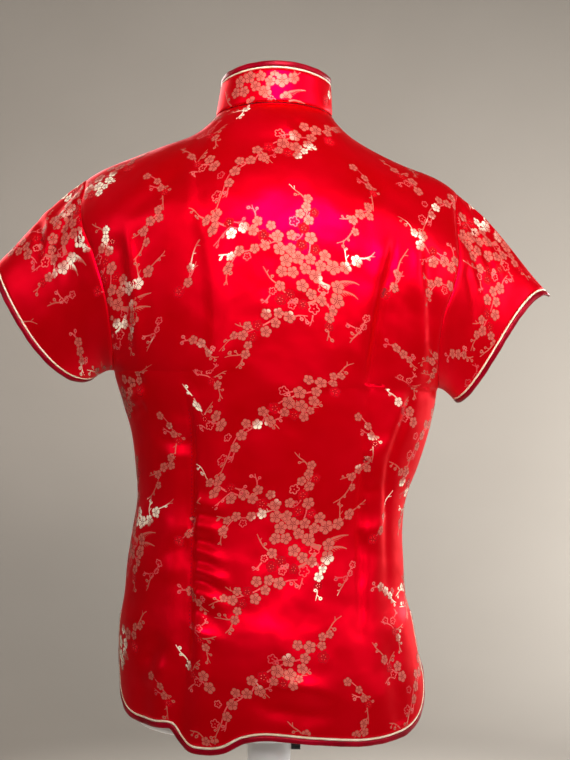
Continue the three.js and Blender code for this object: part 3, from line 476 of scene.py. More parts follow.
def panelNormal(face, share, z):
    top = float(columnTop(face, np.array([share]))[0])
    low = min(z - clothProbe["up"], top - clothProbe["topLow"])
    high = min(z + clothProbe["up"], top - clothProbe["topHigh"])
    middle, aside = (low + high) / 2, clothProbe["share"]
    across = panelPoint(face, share + aside, middle) - panelPoint(face, share - aside, middle)
    up = panelPoint(face, share, high) - panelPoint(face, share, low)
    normal = unit(np.cross(across, up))
    return -normal if normal[1] * face < 0 else normal


def armholeLoop(side):  # underarm, up the back, over the shoulder and down the front
    steps = sleeveFine["coarse"]
    fine = steps * sleeveFine["perRow"]
    under = armholes[side]["under"]

    def column(face, count):
        top = float(columnTop(face, np.array([float(side)]))[0])
        turn = (1 - np.cos(np.pi * np.arange(count + 1) / count)) / 2
        z = mix(under, top, turn)
        return panelPoint(face, np.full(count + 1, float(side)), z), z

    backFine, frontFine = column(1, fine)[0], column(-1, fine)[0]
    points = np.concatenate([backFine, frontFine[-2:0:-1]])
    points[0, 1] = points[fine, 1] = 0
    (backCoarse, zBack), (frontCoarse, zFront) = column(1, steps), column(-1, steps)
    coarse = np.concatenate([backCoarse, frontCoarse[-2:0:-1]])
    coarse[0, 1] = coarse[steps, 1] = 0
    normals = [panelNormal(1, side, z) for z in zBack] + [panelNormal(-1, side, z) for z in zFront[-2:0:-1]]
    outBy, upBy = sleeveHang["overShoulder"]
    normals[0] = unit(np.array([side, 0, normals[0][2]]))
    normals[steps] = unit(np.array([side * outBy, 0, upBy]))
    normals = np.array(normals)
    run = unit(np.roll(coarse, -1, 0) - np.roll(coarse, 1, 0))
    return points, unit(np.cross(run, normals) * -side)


def cuffPoint(cuff, side, turn):
    c, s = -np.cos(turn), np.sin(turn)
    reach = math.hypot(cuff["run"], cuff["rise"])
    bow = np.abs(s) * (np.where(s > 0, cuff["back"], cuff["front"]) - 2 * cuff["curl"] * c) / reach
    x = cuff["x"] + cuff["run"] * c + cuff["rise"] * bow
    y = cuff["y"] + cuff["thick"] * np.sign(s) * np.abs(s) ** sleeveHang["roundness"]
    return np.stack([side * x, y, cuff["z"] + cuff["rise"] * c - cuff["run"] * bow], -1)


def makeSleeve(side, creases):
    cuff = cuffs[side]
    points, outCoarse = armholeLoop(side)
    count, coarse = len(points), len(outCoarse)
    place = np.arange(count) * coarse / count
    wrapped = np.concatenate([outCoarse, outCoarse[:1]])
    out = unit(np.stack([np.interp(place, np.arange(coarse + 1), wrapped[:, k]) for k in range(3)], -1))
    for _ in range(sleeveFine["passes"]):
        out = unit(out + 0.5 * (np.roll(out, 1, 0) + np.roll(out, -1, 0)))
    reach = math.hypot(cuff["run"], cuff["rise"])
    down = unit(np.array([side * cuff["rise"] / reach, sleeveHang["forward"], -cuff["run"] / reach]))
    start = points + out * (seam["gap"] + sleeveHang["clear"])
    end = cuffPoint(cuff, side, 2 * np.pi * np.arange(count) / count)
    length = np.linalg.norm(end - start, axis=-1, keepdims=True)
    straight = (end - start) / length
    leave = (out + straight) * sleeveHang["leave"] * length
    arrive = (down * sleeveHang["fall"] + straight * sleeveHang["straight"]) * length
    t = ((1 - rimWidth / length) * np.linspace(0, 1, sleeveFine["rows"])[None, :])[..., None]
    t2, t3 = t * t, t ** 3
    grid = (2 * t3 - 3 * t2 + 1) * start[:, None] + (t3 - 2 * t2 + t) * leave[:, None]
    grid += (3 * t2 - 2 * t3) * end[:, None] + (t3 - t2) * arrive[:, None]
    grid = np.concatenate([grid, grid[:1]])  # closed at the underarm seam
    outward = grid - grid.mean(0, keepdims=True)
    u = runUp(np.linalg.norm(np.diff(grid, axis=0), axis=-1))
    u = u[count // 2][None, :] - u  # 0 on the shoulder line, more towards the back
    v = runUp(np.linalg.norm(np.diff(grid, axis=1), axis=-1), 1)
    fade = creaseFade["sleeve"]
    lift = creaseHeight(u, v, creases) * smoothStep(0, fade, u - u[-1:]) * smoothStep(0, fade, u[:1] - u)
    lift -= seamRoll["deep"] * bell(v, seamRoll["spread"])
    grid = grid + gridNormals(grid, outward) * lift[..., None]
    grid[-1] = grid[0]
    # the cloth unrolled about the sleeve's own axis, so that its pattern keeps its shape
    axis = grid[:, -1].mean(0) - grid[:, 0].mean(0)
    axis = unit(axis * [1, 0, 1])
    step = np.diff(grid, axis=0)
    flatU = runUp(np.sqrt(np.maximum((step ** 2).sum(-1) - (step @ axis) ** 2, 0)))
    flatU = flatU[count // 2][None, :] - flatU
    flatV = grid @ axis
    return {"grid": grid, "u": flatU, "v": flatV[count // 2, 0] - flatV, "outward": outward}


leftSleeveCreases = [  # along the arc from the shoulder line and down from the armhole
    ([(40, 4), (46, 22), (58, 44), (74, 62)], -2.2, 5, 0.1, 0.4, 9, 1.6, 6),
    ([(12, 3), (16, 20), (18, 42)], -1.3, 5, 0.05, 0.5),
    ([(76, 6), (84, 26), (96, 44)], -1.6, 5, 0.1, 0.5),
    ([(-6, 60), (14, 50), (34, 46), (52, 52)], 1.8, 4.5, 0.3, 0.4),
    ([(-2, 70), (18, 60), (40, 57), (58, 64)], -1.7, 4, 0.3, 0.4),
    ([(4, 78), (24, 70), (44, 68)], 1.3, 4, 0.3, 0.4),
    ([(-34, 4), (-40, 24), (-46, 50)], -1.8, 6, 0.1, 0.4, -8, 1.4, 6),
    ([(-76, 8), (-84, 30), (-92, 52)], -1.5, 5, 0.1, 0.4),
    ([(-56, 62), (-36, 52), (-14, 50)], 1.3, 5, 0.3, 0.4),
]
rightSleeveCreases = [
    ([(26, 4), (34, 26), (44, 48), (60, 66)], -1.7, 5, 0.1, 0.4, 9, 1.4, 7),
    ([(56, 4), (66, 26), (80, 48)], -1.6, 6, 0.1, 0.4),
    ([(4, 2), (6, 18), (8, 36)], -1.2, 4.5, 0.05, 0.5),
    ([(90, 8), (98, 26), (104, 44)], -1.3, 5, 0.1, 0.4),
    ([(-30, 4), (-38, 26), (-44, 50)], -1.8, 6, 0.1, 0.4, -8, 1.3, 6),
    ([(-74, 8), (-82, 30), (-90, 50)], -1.4, 5, 0.1, 0.4),
    ([(10, 74), (30, 66), (52, 66)], 1.2, 5, 0.3, 0.4),
]
sleeveLeft, sleeveRight = makeSleeve(1, leftSleeveCreases), makeSleeve(-1, rightSleeveCreases)

# stand collar
collar = {
    "wall": 1.6, "corner": 16, "frontGap": 0.8, "lift": 0.6,
    "rows": 14, "arcRow": 4, "cornerColumns": 15, "columns": 121,  # u is measured along the arc row
    "rimWave": {"high": 0.5, "long": 17, "z": 862, "spread": 14},
    "slowWave": {"high": 0.4, "long": 29, "turn": 1.3}, "seamDip": {"deep": 0.6, "spread": 2.0},
}


def makeCollar():
    limit = np.pi - (collar["frontGap"] + rimWidth) / neck["half"]
    cornerArc = collar["corner"] / neck["half"]
    bend = cornerArc * (1 - np.cos(np.linspace(0, np.pi / 2, collar["cornerColumns"])))
    inner = np.linspace(limit - cornerArc, -(limit - cornerArc), collar["columns"])[1:-1]
    angle = np.concatenate([-(limit - bend), -inner, (limit - bend)[::-1]])
    into = np.minimum((limit - np.abs(angle)) / cornerArc, 1)
    lowered = collar["corner"] * (1 - np.sqrt(np.maximum(1 - (1 - into) ** 2, 0)))
    low, high = neckPoint(angle, neck)[:, None], neckPoint(angle, collarTop)[:, None]
    share = np.linspace(0, 1, collar["rows"])[None, :]
    tall = high[..., 2] - low[..., 2] - lowered[:, None] - rimWidth
    z = low[..., 2] + seam["gap"] + collar["lift"] + tall * share
    grid = mix(low, high, ((z - low[..., 2]) / (high[..., 2] - low[..., 2]))[..., None])
    grid[..., 2] = z
    outward = (grid - np.array([neck["centre"], 0, 0])) * np.array([1, 1, 0])
    arc = runLength(grid[:, collar["arcRow"], :2])
    middle = int(np.argmin(np.abs(angle)))
    u = np.broadcast_to((arc - arc[middle])[:, None], z.shape)
    rimWave, slowWave, dip = collar["rimWave"], collar["slowWave"], collar["seamDip"]
    wave = rimWave["high"] * np.sin(u / rimWave["long"]) * bell(z - rimWave["z"], rimWave["spread"])
    wave = wave + slowWave["high"] * np.sin(u / slowWave["long"] + slowWave["turn"])
    wave = wave - dip["deep"] * bell(z - low[..., 2], dip["spread"])
    grid = grid + gridNormals(grid, outward) * wave[..., None]
    return {"grid": grid, "u": u, "v": z - neck["zBack"], "outward": outward}


collarSheet = makeCollar()
print("stage: sleeves and collar", sleeveLeft["grid"].shape, collarSheet["grid"].shape)


# materials
bumpHeight = {"thread": 0.0004, "peel": 0.0003}  # metres


def colour(hexCode):  # sRGB hex to linear
    parts = [int(hexCode[i:i + 2], 16) / 255 for i in (1, 3, 5)]
    return tuple(c / 12.92 if c <= 0.04045 else ((c + 0.055) / 1.055) ** 2.4 for c in parts) + (1.0,)


def addNode(tree, kind, links=None, values=None, **settings):
    node = tree.nodes.new(kind)
    for key, value in settings.items():
        setattr(node, key, value)
    for key, value in (values or {}).items():
        node.inputs[key].default_value = value
    for key, source in (links or {}).items():
        tree.links.new(source, node.inputs[key])
    return node


def newMaterial(name, **settings):
    material = bpy.data.materials.new(name)
    material.use_nodes = True
    shader = material.node_tree.nodes["Principled BSDF"]
    for key, value in settings.items():
        shader.inputs[key.replace("_", " ")].default_value = value
    return material, material.node_tree, shader


def threadMaterial(name, low, high, weave, patch, bump, aniso, turns=(0.35, 0.68), sway=None, **settings):
    # Silk-like satin threads: weave is the thread spacing in mm across and along, patch the size in mm of its
    # tone changes, turns where they start and end, sway the size and height in mm of its slow unevenness.
    material, tree, shader = newMaterial(name, Anisotropic=aniso, **settings)
    uv = addNode(tree, "ShaderNodeTexCoord").outputs["UV"]
    sizes = {"tone": (patch, patch, 2.0), "thread": (*weave, 2.0)}
    if sway:
        sizes["sway"] = (sway[0], sway[0], 1.5)
    noise = {}
    for key, (across, along, detail) in sizes.items():
        scale = (1000 / across, 1000 / along, 1)
        place = addNode(tree, "ShaderNodeMapping", {"Vector": uv}, {"Scale": scale}).outputs["Vector"]
        cloud = addNode(tree, "ShaderNodeTexNoise", {"Vector": place}, {"Scale": 1.0, "Detail": detail})
        noise[key] = cloud.outputs["Fac"]
    # mix of the low and high tones by noise; on the blossom weft the high cream tone is a painted glint
    ramp = addNode(tree, "ShaderNodeMapRange", {"Value": noise["tone"]},
                   {"From Min": turns[0], "From Max": turns[1]})
    blend = addNode(tree, "ShaderNodeMix", {0: ramp.outputs["Result"]}, {6: colour(low), 7: colour(high)},
                    data_type="RGBA")
    tree.links.new(blend.outputs[2], shader.inputs["Base Color"])
    relief = addNode(tree, "ShaderNodeBump", {"Height": noise["thread"]},
                     {"Strength": bump, "Distance": bumpHeight["thread"]})
    tree.links.new(relief.outputs["Normal"], shader.inputs["Normal"])
    if sway:
        waves = addNode(tree, "ShaderNodeBump", {"Height": noise["sway"]},
                        {"Strength": 1.0, "Distance": sway[1] * mm})
        tree.links.new(waves.outputs["Normal"], relief.inputs["Normal"])
    tangent = addNode(tree, "ShaderNodeTangent", direction_type="UV_MAP", uv_map="UVMap")
    tree.links.new(tangent.outputs["Tangent"], shader.inputs["Tangent"])
    return material


# Warp-faced silk satin ground: deep red with a broad pink shine. Real floats are 0.1 mm apart. They are drawn
# 1.1 mm apart to show.
satin = threadMaterial(
    "redSatinGround", "#DC0006", "#EA0012", (1.1, 9), 60, 0.12, 0.45, sway=(46, 3.2),
    Roughness=0.35, Metallic=0.5, IOR=2.0, Specular_IOR_Level=1.0, Specular_Tint=colour("#FF0052"))
# Metallised weft floats of the blossoms: salmon, with painted cream glints in random noise patches that stand
# for highlights off the floats.
goldThread = threadMaterial(
    "blossomWeft", "#CB5C50", "#FFEFD6", (3, 0.9), 62, 0.3, 0.3, (0.57, 0.63),
    Roughness=0.42, Metallic=0.2, Specular_IOR_Level=0.6, Specular_Tint=colour("#FFE0C8"))
# Thinner weft of the twigs and side boughs, halfway between the blossoms and the ground.
coralThread = threadMaterial(
    "coralWeft", "#DC3C44", "#EE6A66", (3, 0.9), 30, 0.3, 0.4,
    Roughness=0.42, Metallic=0.3, Specular_IOR_Level=0.5)
# Dark red drawn round each petal and in the small dots of the blossoms and buds.
shadeThread = threadMaterial(
    "petalOutline", "#7C0008", "#90000E", (1, 1), 20, 0.1, 0.0, Roughness=0.6, Specular_IOR_Level=0.2)
# Tone-on-tone weft of the second blossoms, deeper than the ground.
deepThread = threadMaterial(
    "deepRedWeft", "#BA000A", "#CC0016", (3, 0.9), 24, 0.3, 0.2,
    Roughness=0.5, Specular_IOR_Level=0.4, Specular_Tint=colour("#FF4060"))
# Bias-cut satin rolled over the edges, darker than the blouse.
bindingSatin = threadMaterial(
    "rolledSatinBinding", "#6E0010", "#94001A", (2.4, 0.9), 26, 0.5, 0.4,
    Roughness=0.34, Specular_IOR_Level=0.8, Specular_Tint=colour("#FF5068"))
# Cream satin over a thin cord.
pipingSatin = threadMaterial(
    "creamPiping", "#DCC9A4", "#F1E6CE", (1.6, 1.0), 9, 0.5, 0.3, Roughness=0.4, Specular_IOR_Level=0.6)
# Cord of the frogs, the binding's cloth turned round a core.
frogCord = threadMaterial(
    "frogCordSatin", "#7A0012", "#A0001C", (1.2, 2.4), 14, 0.6, 0.3,
    Roughness=0.36, Specular_IOR_Level=0.8, Specular_Tint=colour("#FF5068"))


def hardMaterial(name, low, high, grain, bumpScale, bump, **settings):
    # Moulded or painted surface: grain is the size in mm of its tone changes, bumpScale of its texture.
    material, tree, shader = newMaterial(name, **settings)
    place = addNode(tree, "ShaderNodeTexCoord").outputs["Object"]
    cloud = addNode(tree, "ShaderNodeTexNoise", {"Vector": place}, {"Scale": 1000 / grain, "Detail": 3.0})
    blend = addNode(tree, "ShaderNodeMix", {0: cloud.outputs["Fac"]}, {6: colour(low), 7: colour(high)},
                    data_type="RGBA")
    tree.links.new(blend.outputs[2], shader.inputs["Base Color"])
    peel = addNode(tree, "ShaderNodeTexNoise", {"Vector": place}, {"Scale": 1000 / bumpScale, "Detail": 2.0})
    relief = addNode(tree, "ShaderNodeBump", {"Height": peel.outputs["Fac"]},
                     {"Strength": bump, "Distance": bumpHeight["peel"]})
    tree.links.new(relief.outputs["Normal"], shader.inputs["Normal"])
    return material


def paleMiddle(material, pale, near, far):  # a paler tone within near metres of the stand, gone at far metres
    tree = material.node_tree
    tone = tree.nodes["Principled BSDF"].inputs["Base Color"]
    place = addNode(tree, "ShaderNodeTexCoord").outputs["Object"]
    reach = addNode(tree, "ShaderNodeVectorMath", {0: place}, operation="LENGTH").outputs["Value"]
    fade = addNode(tree, "ShaderNodeMapRange", {"Value": reach}, {"From Min": near, "From Max": far},
                   interpolation_type="SMOOTHSTEP")
    blend = addNode(tree, "ShaderNodeMix", {0: fade.outputs["Result"]}, {6: colour(pale)}, data_type="RGBA")
    tree.links.new(tone.links[0].from_socket, blend.inputs[7])
    tree.links.new(blend.outputs[2], tone)


# Blow-moulded gloss shell with faint waves from the mould.
formGloss = hardMaterial(
    "glossFormShell", "#E6E8EA", "#F4F5F5", 90, 22, 0.12,
    Roughness=0.16, Specular_IOR_Level=0.6, Coat_Weight=0.4)
# Powder-painted steel with a fine orange peel.
paintedSteel = hardMaterial(
    "paintedSteel", "#D4D6D8", "#E2E3E4", 60, 1.6, 0.25, Roughness=0.3, Specular_IOR_Level=0.5)
# Moulded black nylon of the thumb screw.
knobNylon = hardMaterial("mouldedNylon", "#0C0C0D", "#1A1A1C", 8, 0.6, 0.3, Roughness=0.5)
# Matt seamless studio paper: its own pale tone on the floor round the stand, and farther out and up the wall
# a greyer tone that is painted shade on the pale paper.
floorPaper = hardMaterial(
    "floorPaper", "#787269", "#807A71", 500, 3, 0.1, Roughness=0.85, Specular_IOR_Level=0.2)
paleMiddle(floorPaper, "#CFC9BD", 0.25, 0.85)
print("stage: materials")


# mesh helpers
def newObject(name, verts, faces, uvs=None, materials=(), normals=None):
    mesh = bpy.data.meshes.new(name)
    mesh.from_pydata([tuple(v) for v in verts], [], faces)
    for material in materials:
        mesh.materials.append(material)
    mesh.update()
    if uvs is not None:
        layer = mesh.uv_layers.new(name="UVMap")
        index = np.zeros(len(mesh.loops), int)
        mesh.loops.foreach_get("vertex_index", index)
        layer.data.foreach_set("uv", np.asarray(uvs, float)[index].ravel())
    mesh.polygons.foreach_set("use_smooth", [True] * len(mesh.polygons))
    if normals is not None:
        mesh.normals_split_custom_set_from_vertices([tuple(n) for n in normals])
    obj = bpy.data.objects.new(name, mesh)
    bpy.context.scene.collection.objects.link(obj)
    return obj


def onlySelect(obj):
    bpy.ops.object.select_all(action="DESELECT")
    obj.select_set(True)
    bpy.context.view_layer.objects.active = obj


def editAll(obj, operator, **settings):  # one edit-mode operator on all of a piece
    onlySelect(obj)
    bpy.ops.object.mode_set(mode="EDIT")
    bpy.ops.mesh.select_all(action="SELECT")
    operator(**settings)
    bpy.ops.object.mode_set(mode="OBJECT")


def gridFaces(columns, count, flip):
    i, j = np.meshgrid(np.arange(columns - 1), np.arange(count - 1), indexing="ij")
    a = (i * count + j).ravel()
    quads = np.stack([a, a + count, a + count + 1, a + 1], -1)
    return (quads[:, ::-1] if flip else quads).tolist()


def tubeWalls(count, sides, ring, first=0):  # quads of a tube, which closes on itself if ring is true
    faces = []
    for i in range(count if ring else count - 1):
        a, b = first + i * sides, first + (i + 1) % count * sides
        faces += [(a + j, a + (j + 1) % sides, b + (j + 1) % sides, b + j) for j in range(sides)]
    return faces


def tubeCaps(count, sides, first=0):
    last = first + (count - 1) * sides
    return [tuple(range(first, first + sides))[::-1], tuple(range(last, last + sides))]


# cloth sheets with their wall
clothWall = {"panel": 0.9, "collar": 1.3, "merge": 1e-6}


def clothPiece(name, sheet, nodes, thick):
    grid = sheet["grid"]
    normal = np.cross(np.gradient(grid, axis=0), np.gradient(grid, axis=1))
    flip = (normal * sheet["outward"]).sum(-1).mean() < 0
    faces = gridFaces(grid.shape[0], grid.shape[1], flip)
    uvs = np.stack([sheet["u"], sheet["v"]], -1).reshape(-1, 2) * mm
    obj = newObject(name, grid.reshape(-1, 3) * mm, faces, uvs, [satin])
    if name.startswith("sleeve"):  # joins the underarm seam
        editAll(obj, bpy.ops.mesh.remove_doubles, threshold=clothWall["merge"])
    onlySelect(obj)
    wall = obj.modifiers.new("wall", "SOLIDIFY")
    wall.thickness, wall.offset = thick * mm, -1
    bpy.ops.object.modifier_apply(modifier="wall")
    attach(obj, "root")
    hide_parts(*nodes)
    return obj


backCloth = clothPiece("backCloth", back, ["back"], clothWall["panel"])
frontLeftCloth = clothPiece("frontLeftCloth", frontLeft, ["front_left"], clothWall["panel"])
frontRightCloth = clothPiece("frontRightCloth", frontRight, ["front_right"], clothWall["panel"])
sleeveLeftCloth = clothPiece("sleeveLeftCloth", sleeveLeft, ["sleeve_left"], clothWall["panel"])
sleeveRightCloth = clothPiece("sleeveRightCloth", sleeveRight, ["sleeve_right"], clothWall["panel"])
collarCloth = clothPiece("collarCloth", collarSheet, ["collar"], clothWall["collar"])
print("stage: cloth")


# piping and rolled binding of every finished edge
pipingShape = {"sides": 10, "pulse": 0.05, "pulseLong": 1.9, "wide": 1.05, "lift": 0.2}
bindingShape = {
    "sides": 16, "wide": 1.02, "lift": 0.1, "flatWide": 0.8, "flatThick": 0.9,
    "ripples": [(0.13, 4.1, 1), (0.10, 2.3, 2), (0.08, 9.7, 0)],  # height, length and turns of the phase
    "rippleOut": 0.2, "rippleUp": 0.9, "twist": 0.8, "twistTurn": 0.6,
}
rimGirth = 12  # mm of the threads' pattern round a rim
rimPasses = 3  # smoothing of the directions out of an edge


def sweepPiece(name, sections, ring, material, nodes):  # sections: count x sides x 3 in mm
    count, sides = sections.shape[:2]
    middle = sections.mean(1)
    run = np.linalg.norm(np.diff(middle, axis=0, append=middle[:1] if ring else middle[-1:]), axis=-1)
    along = runUp(run)[:count]
    girth = np.linspace(0, 1, sides, endpoint=False) * rimGirth
    uvs = np.stack(np.broadcast_arrays(girth[None, :], along[:, None]), -1).reshape(-1, 2) * mm
    faces = tubeWalls(count, sides, ring) + ([] if ring else tubeCaps(count, sides))
    obj = newObject(name, sections.reshape(-1, 3) * mm, faces, uvs, [material])
    editAll(obj, bpy.ops.mesh.normals_make_consistent, inside=False)
    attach(obj, "root")
    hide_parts(*nodes)
    return obj


def rimFrames(points, normals, inward, ring):
    run = unit(np.roll(points, -1, 0) - np.roll(points, 1, 0) if ring else np.gradient(points, axis=0))
    out = unit(np.cross(run, normals))
    out = np.where(((inward - points) * out).sum(-1, keepdims=True) > 0, -out, out)
    for _ in range(rimPasses):
        if ring:
            out = unit(out + 0.5 * (np.roll(out, 1, 0) + np.roll(out, -1, 0)))
        else:
            out[1:-1] = unit(out[1:-1] + 0.5 * (out[2:] + out[:-2]))
    return out


def addRim(name, nodeName, points, normals, inward, ring, wall, phase):
    out = rimFrames(points, normals, inward, ring)
    along = runLength(points)

    def section(outBy, liftBy):
        return points[:, None] + out[:, None] * outBy[..., None] + normals[:, None] * liftBy[..., None]

    shape = pipingShape
    turn = np.linspace(0, 2 * np.pi, shape["sides"], endpoint=False)
    pulse = 1 + shape["pulse"] * np.sin(along / shape["pulseLong"] + phase)[:, None]
    centre = seam["gap"] + rim["piping"]
    piping = section(centre + rim["piping"] * np.cos(turn)[None, :] * pulse * shape["wide"],
                     shape["lift"] - wall / 2 + rim["piping"] * np.sin(turn)[None, :] * pulse)
    shape = bindingShape
    turn = np.linspace(0, 2 * np.pi, shape["sides"], endpoint=False)
    start = 2 * seam["gap"] + 2 * rim["piping"]
    halfWide, halfThick = rim["bindingWidth"] / 2, rim["bindingThick"] / 2
    waves = [high * np.sin(along / long + turns * phase) for high, long, turns in shape["ripples"]]
    ripple = sum(waves)[:, None]
    c, s = np.cos(turn), np.sin(turn)
    wide = halfWide * np.sign(c) * np.abs(c) ** shape["flatWide"]
    thick = halfThick * np.sign(s) * np.abs(s) ** shape["flatThick"]
    twist = np.sin(turn * 2 + shape["twistTurn"])[None, :]
    binding = section(start + halfWide + (wide * shape["wide"])[None, :] + shape["rippleOut"] * ripple,
                      shape["lift"] - wall / 2 + thick[None, :] * (1 + ripple * twist * shape["twist"])
                      + ripple * shape["rippleUp"])
    return [sweepPiece(name + "Piping", piping, ring, pipingSatin, [nodeName + "_piping"]),
            sweepPiece(name + "Binding", binding, ring, bindingSatin, [nodeName + "_binding"])]


def edgeRim(name, nodeName, sheet, cells, wall, phase):  # cells: a place on the edge and the one inside it
    grid, normals = sheet["grid"], gridNormals(sheet["grid"], sheet["outward"])
    at = np.array(cells)
    points, inward = grid[at[:, 0], at[:, 1]], grid[at[:, 2], at[:, 3]]
    return addRim(name, nodeName, points, normals[at[:, 0], at[:, 1]], inward, False, wall, phase)


def panelRim(name, nodeName, sheet, both, phase):
    last = len(sheet["grid"]) - 1
    cells = [(0, r, 1, r) for r in range(slitRow, 0, -1)] if both else []
    cells += [(c, 0, c, 1) for c in range(last + 1)]
    cells += [(last, r, last - 1, r) for r in range(1, slitRow + 1)]
    return edgeRim(name, nodeName, sheet, cells, rim["wall"], phase)


def cuffRim(name, nodeName, sheet, phase):
    grid, normals = sheet["grid"][:-1], gridNormals(sheet["grid"], sheet["outward"])[:-1]
    return addRim(name, nodeName, grid[:, -1], normals[:, -1], grid[:, -2], True, rim["wall"], phase)


def collarRim(sheet):
    last, top = np.array(sheet["grid"].shape[:2]) - 1
    cells = [(0, r, 1, r) for r in range(top)] + [(c, top, c, top - 1) for c in range(last + 1)]
    cells += [(last, r, last - 1, r) for r in range(top - 1, -1, -1)]
    return edgeRim("collar", "collar", sheet, cells, collar["wall"], 0.4)


rims = {
    "back": panelRim("back", "back", back, True, 0.0),
    "frontLeft": panelRim("frontLeft", "front_left", frontLeft, False, 1.1),
    "frontRight": panelRim("frontRight", "front_right", frontRight, False, 2.3),
    "sleeveLeft": cuffRim("cuffLeft", "cuff_left", sleeveLeft, 0.7),
    "sleeveRight": cuffRim("cuffRight", "cuff_right", sleeveRight, 1.9),
    "collar": collarRim(collarSheet),
}
print("stage: rims")

# brocade: plum branches drawn flat in one repeat, then laid on each piece of cloth
brocade = {
    "across": 196, "down": 250, "seed": 23, "repeats": 4,  # the drawing's size, and its repeats to each side
    "search": 1.0, "offCloth": 0.02,  # mm from a point of the drawing to the unrolled cloth
    "steps": {"run": 2.0, "ribbon": 2.6, "arc": 1.2},  # mm from point to point along a drawn line
    "lift": {"bough": 0.06, "blade": 0.07, "outline": 0.10, "thread": 0.17, "heart": 0.20, "dot": 0.22},  # mm
    "flower": {
        "petals": 5, "reach": 0.5, "notch": 0.13, "notchPower": 2.8, "half": 33.6, "points": 9,
        "outlineHalf": 36, "outlineWide": 0.24, "foot": 0.1, "heart": 0.055, "dotAt": 0.2, "dot": 0.042,
        "arcAt": 0.27, "arc": 0.15, "arcThick": 0.9,
    },
    "tones": {"gold": ("gold", "shade"), "deep": ("deep", "gold"), "star": (None, "coral")},  # petals, dots
    "plume": {
        "bow": 2.6, "thick": (2.4, 0.8), "jag": 0.1, "spine": (0, 0.35, 0.7, 1),
        "barbFrom": 0.05, "barbSpan": 0.8, "barbLong": 0.34, "barbTaper": 0.45, "barbThick": 2.3,
        "barbTip": 0.5, "barbAlong": 0.86, "barbAside": 0.5, "barbFold": 0.5,
    },
    "plumes": [((3, -4), -0.28, 26, 9), ((5, 2), -0.02, 22, 7)],  # place, angle, length and barbs
    "twig": {
        "bend": 0.35, "thick": (1.3, 0.7), "spurTurn": (0.7, 1.1), "spurLong": (2.5, 5),
        "spurThick": (0.9, 0.6), "budShare": 0.75, "bud": (2.6, 4.2), "budFlat": 0.9, "budEye": 0.16,
        "eyeTurns": (0.4, 6.6, 5),
    },
    "scatter": {
        "tries": 1200, "apart": 0.93, "toTip": 0.85, "size": (0.86, 1.12), "twigShare": 0.12,
        "sideTurn": 0.5, "midTurn": (0.7, 1.3), "midPlace": (0.4, 0.9), "midFrom": 10,
        "spread": (0.3, 0.45), "taper": (0.82, 0.18),  # at a bough's tip, and added towards its root
        "sideTwig": (7, 12), "endTwig": (14, 24), "midTwig": (14, 20),  # mm long
    },
    "deepShare": 0.15, "starShare": 0.07,
    "thickFrom": 3, "plumeFrom": 4,  # thickness at the root of a thick bough, and of the one with plumes
    "thick": ("gold", 0.3), "thin": ("coral", 0.18),  # weft and jag of a bough's edges
    # boughs: line across and down, thickness at root and tip, blossoms, how far they spread, their size
    "boughs": [
        ([(150, 102), (138, 96), (126, 85), (112, 74), (100, 63), (86, 56)], 4.8, 2.2, 42, 12.5, 12.4),
        ([(86, 56), (68, 52), (54, 46), (44, 36), (34, 28)], 1.6, 1.0, 12, 5, 11.2),
        ([(130, 80), (132, 62), (126, 48), (132, 34), (128, 24)], 1.3, 0.9, 13, 6.5, 11.4),
        ([(138, 90), (152, 82), (166, 78), (178, 68)], 1.3, 0.8, 9, 5, 11.6),
        ([(92, 64), (80, 72), (66, 74), (58, 84)], 1.2, 0.8, 7, 4, 10.6),
        ([(146, 106), (136, 116), (124, 120), (110, 112), (102, 104)], 3.4, 1.0, 16, 6.5, 11),
        ([(104, 132), (92, 140), (76, 146), (62, 150)], 1.5, 0.8, 11, 5, 11),
        ([(80, 148), (74, 160), (70, 168)], 1.1, 0.8, 4, 2.5, 9.8),
        ([(26, 146), (34, 152)], 1.0, 0.8, 3, 2.5, 9),
        ([(148, 116), (153, 126), (150, 134)], 1.2, 0.8, 4, 3, 10),
        (
            [(136, 202), (118, 206), (102, 212), (88, 222), (80, 234), (66, 238), (56, 250), (52, 262)],
            1.5, 1.1, 29, 7, 11.4,
        ),
        ([(100, 222), (114, 226), (126, 220)], 1.1, 0.8, 5, 3, 10),
        ([(146, 192), (156, 182)], 1.1, 0.7, 4, 3, 9.6),
        ([(40, 228), (28, 220), (20, 208)], 1.2, 0.8, 7, 4, 10),
        ([(184, 120), (178, 132)], 1.0, 0.7, 3, 2, 9),
        ([(176, 226), (186, 236), (190, 248)], 1.0, 0.7, 4, 3, 9.4),
        ([(12, 96), (20, 84), (22, 72)], 1.0, 0.7, 4, 3, 9.6),
        ([(186, 20), (176, 30), (172, 44)], 1.1, 0.7, 5, 3.5, 10),
        ([(20, 176), (34, 182), (42, 194)], 1.0, 0.7, 4, 3, 9.4),
    ],
}


def smoothThrough(line, count):  # evenly spaced points on a smooth curve through the given ones
    line = np.array(line, float)
    run = runLength(line)
    at = np.linspace(0, run[-1], count)
    return np.stack([curveAt(list(zip(run, line[:, k])), at) for k in range(line.shape[1])], -1)


def smoothLine(line, step):
    return smoothThrough(line, max(int(runLength(np.array(line, float))[-1] / step), 2) + 1)


def compass(angle):
    return np.array([math.cos(angle), math.sin(angle)])


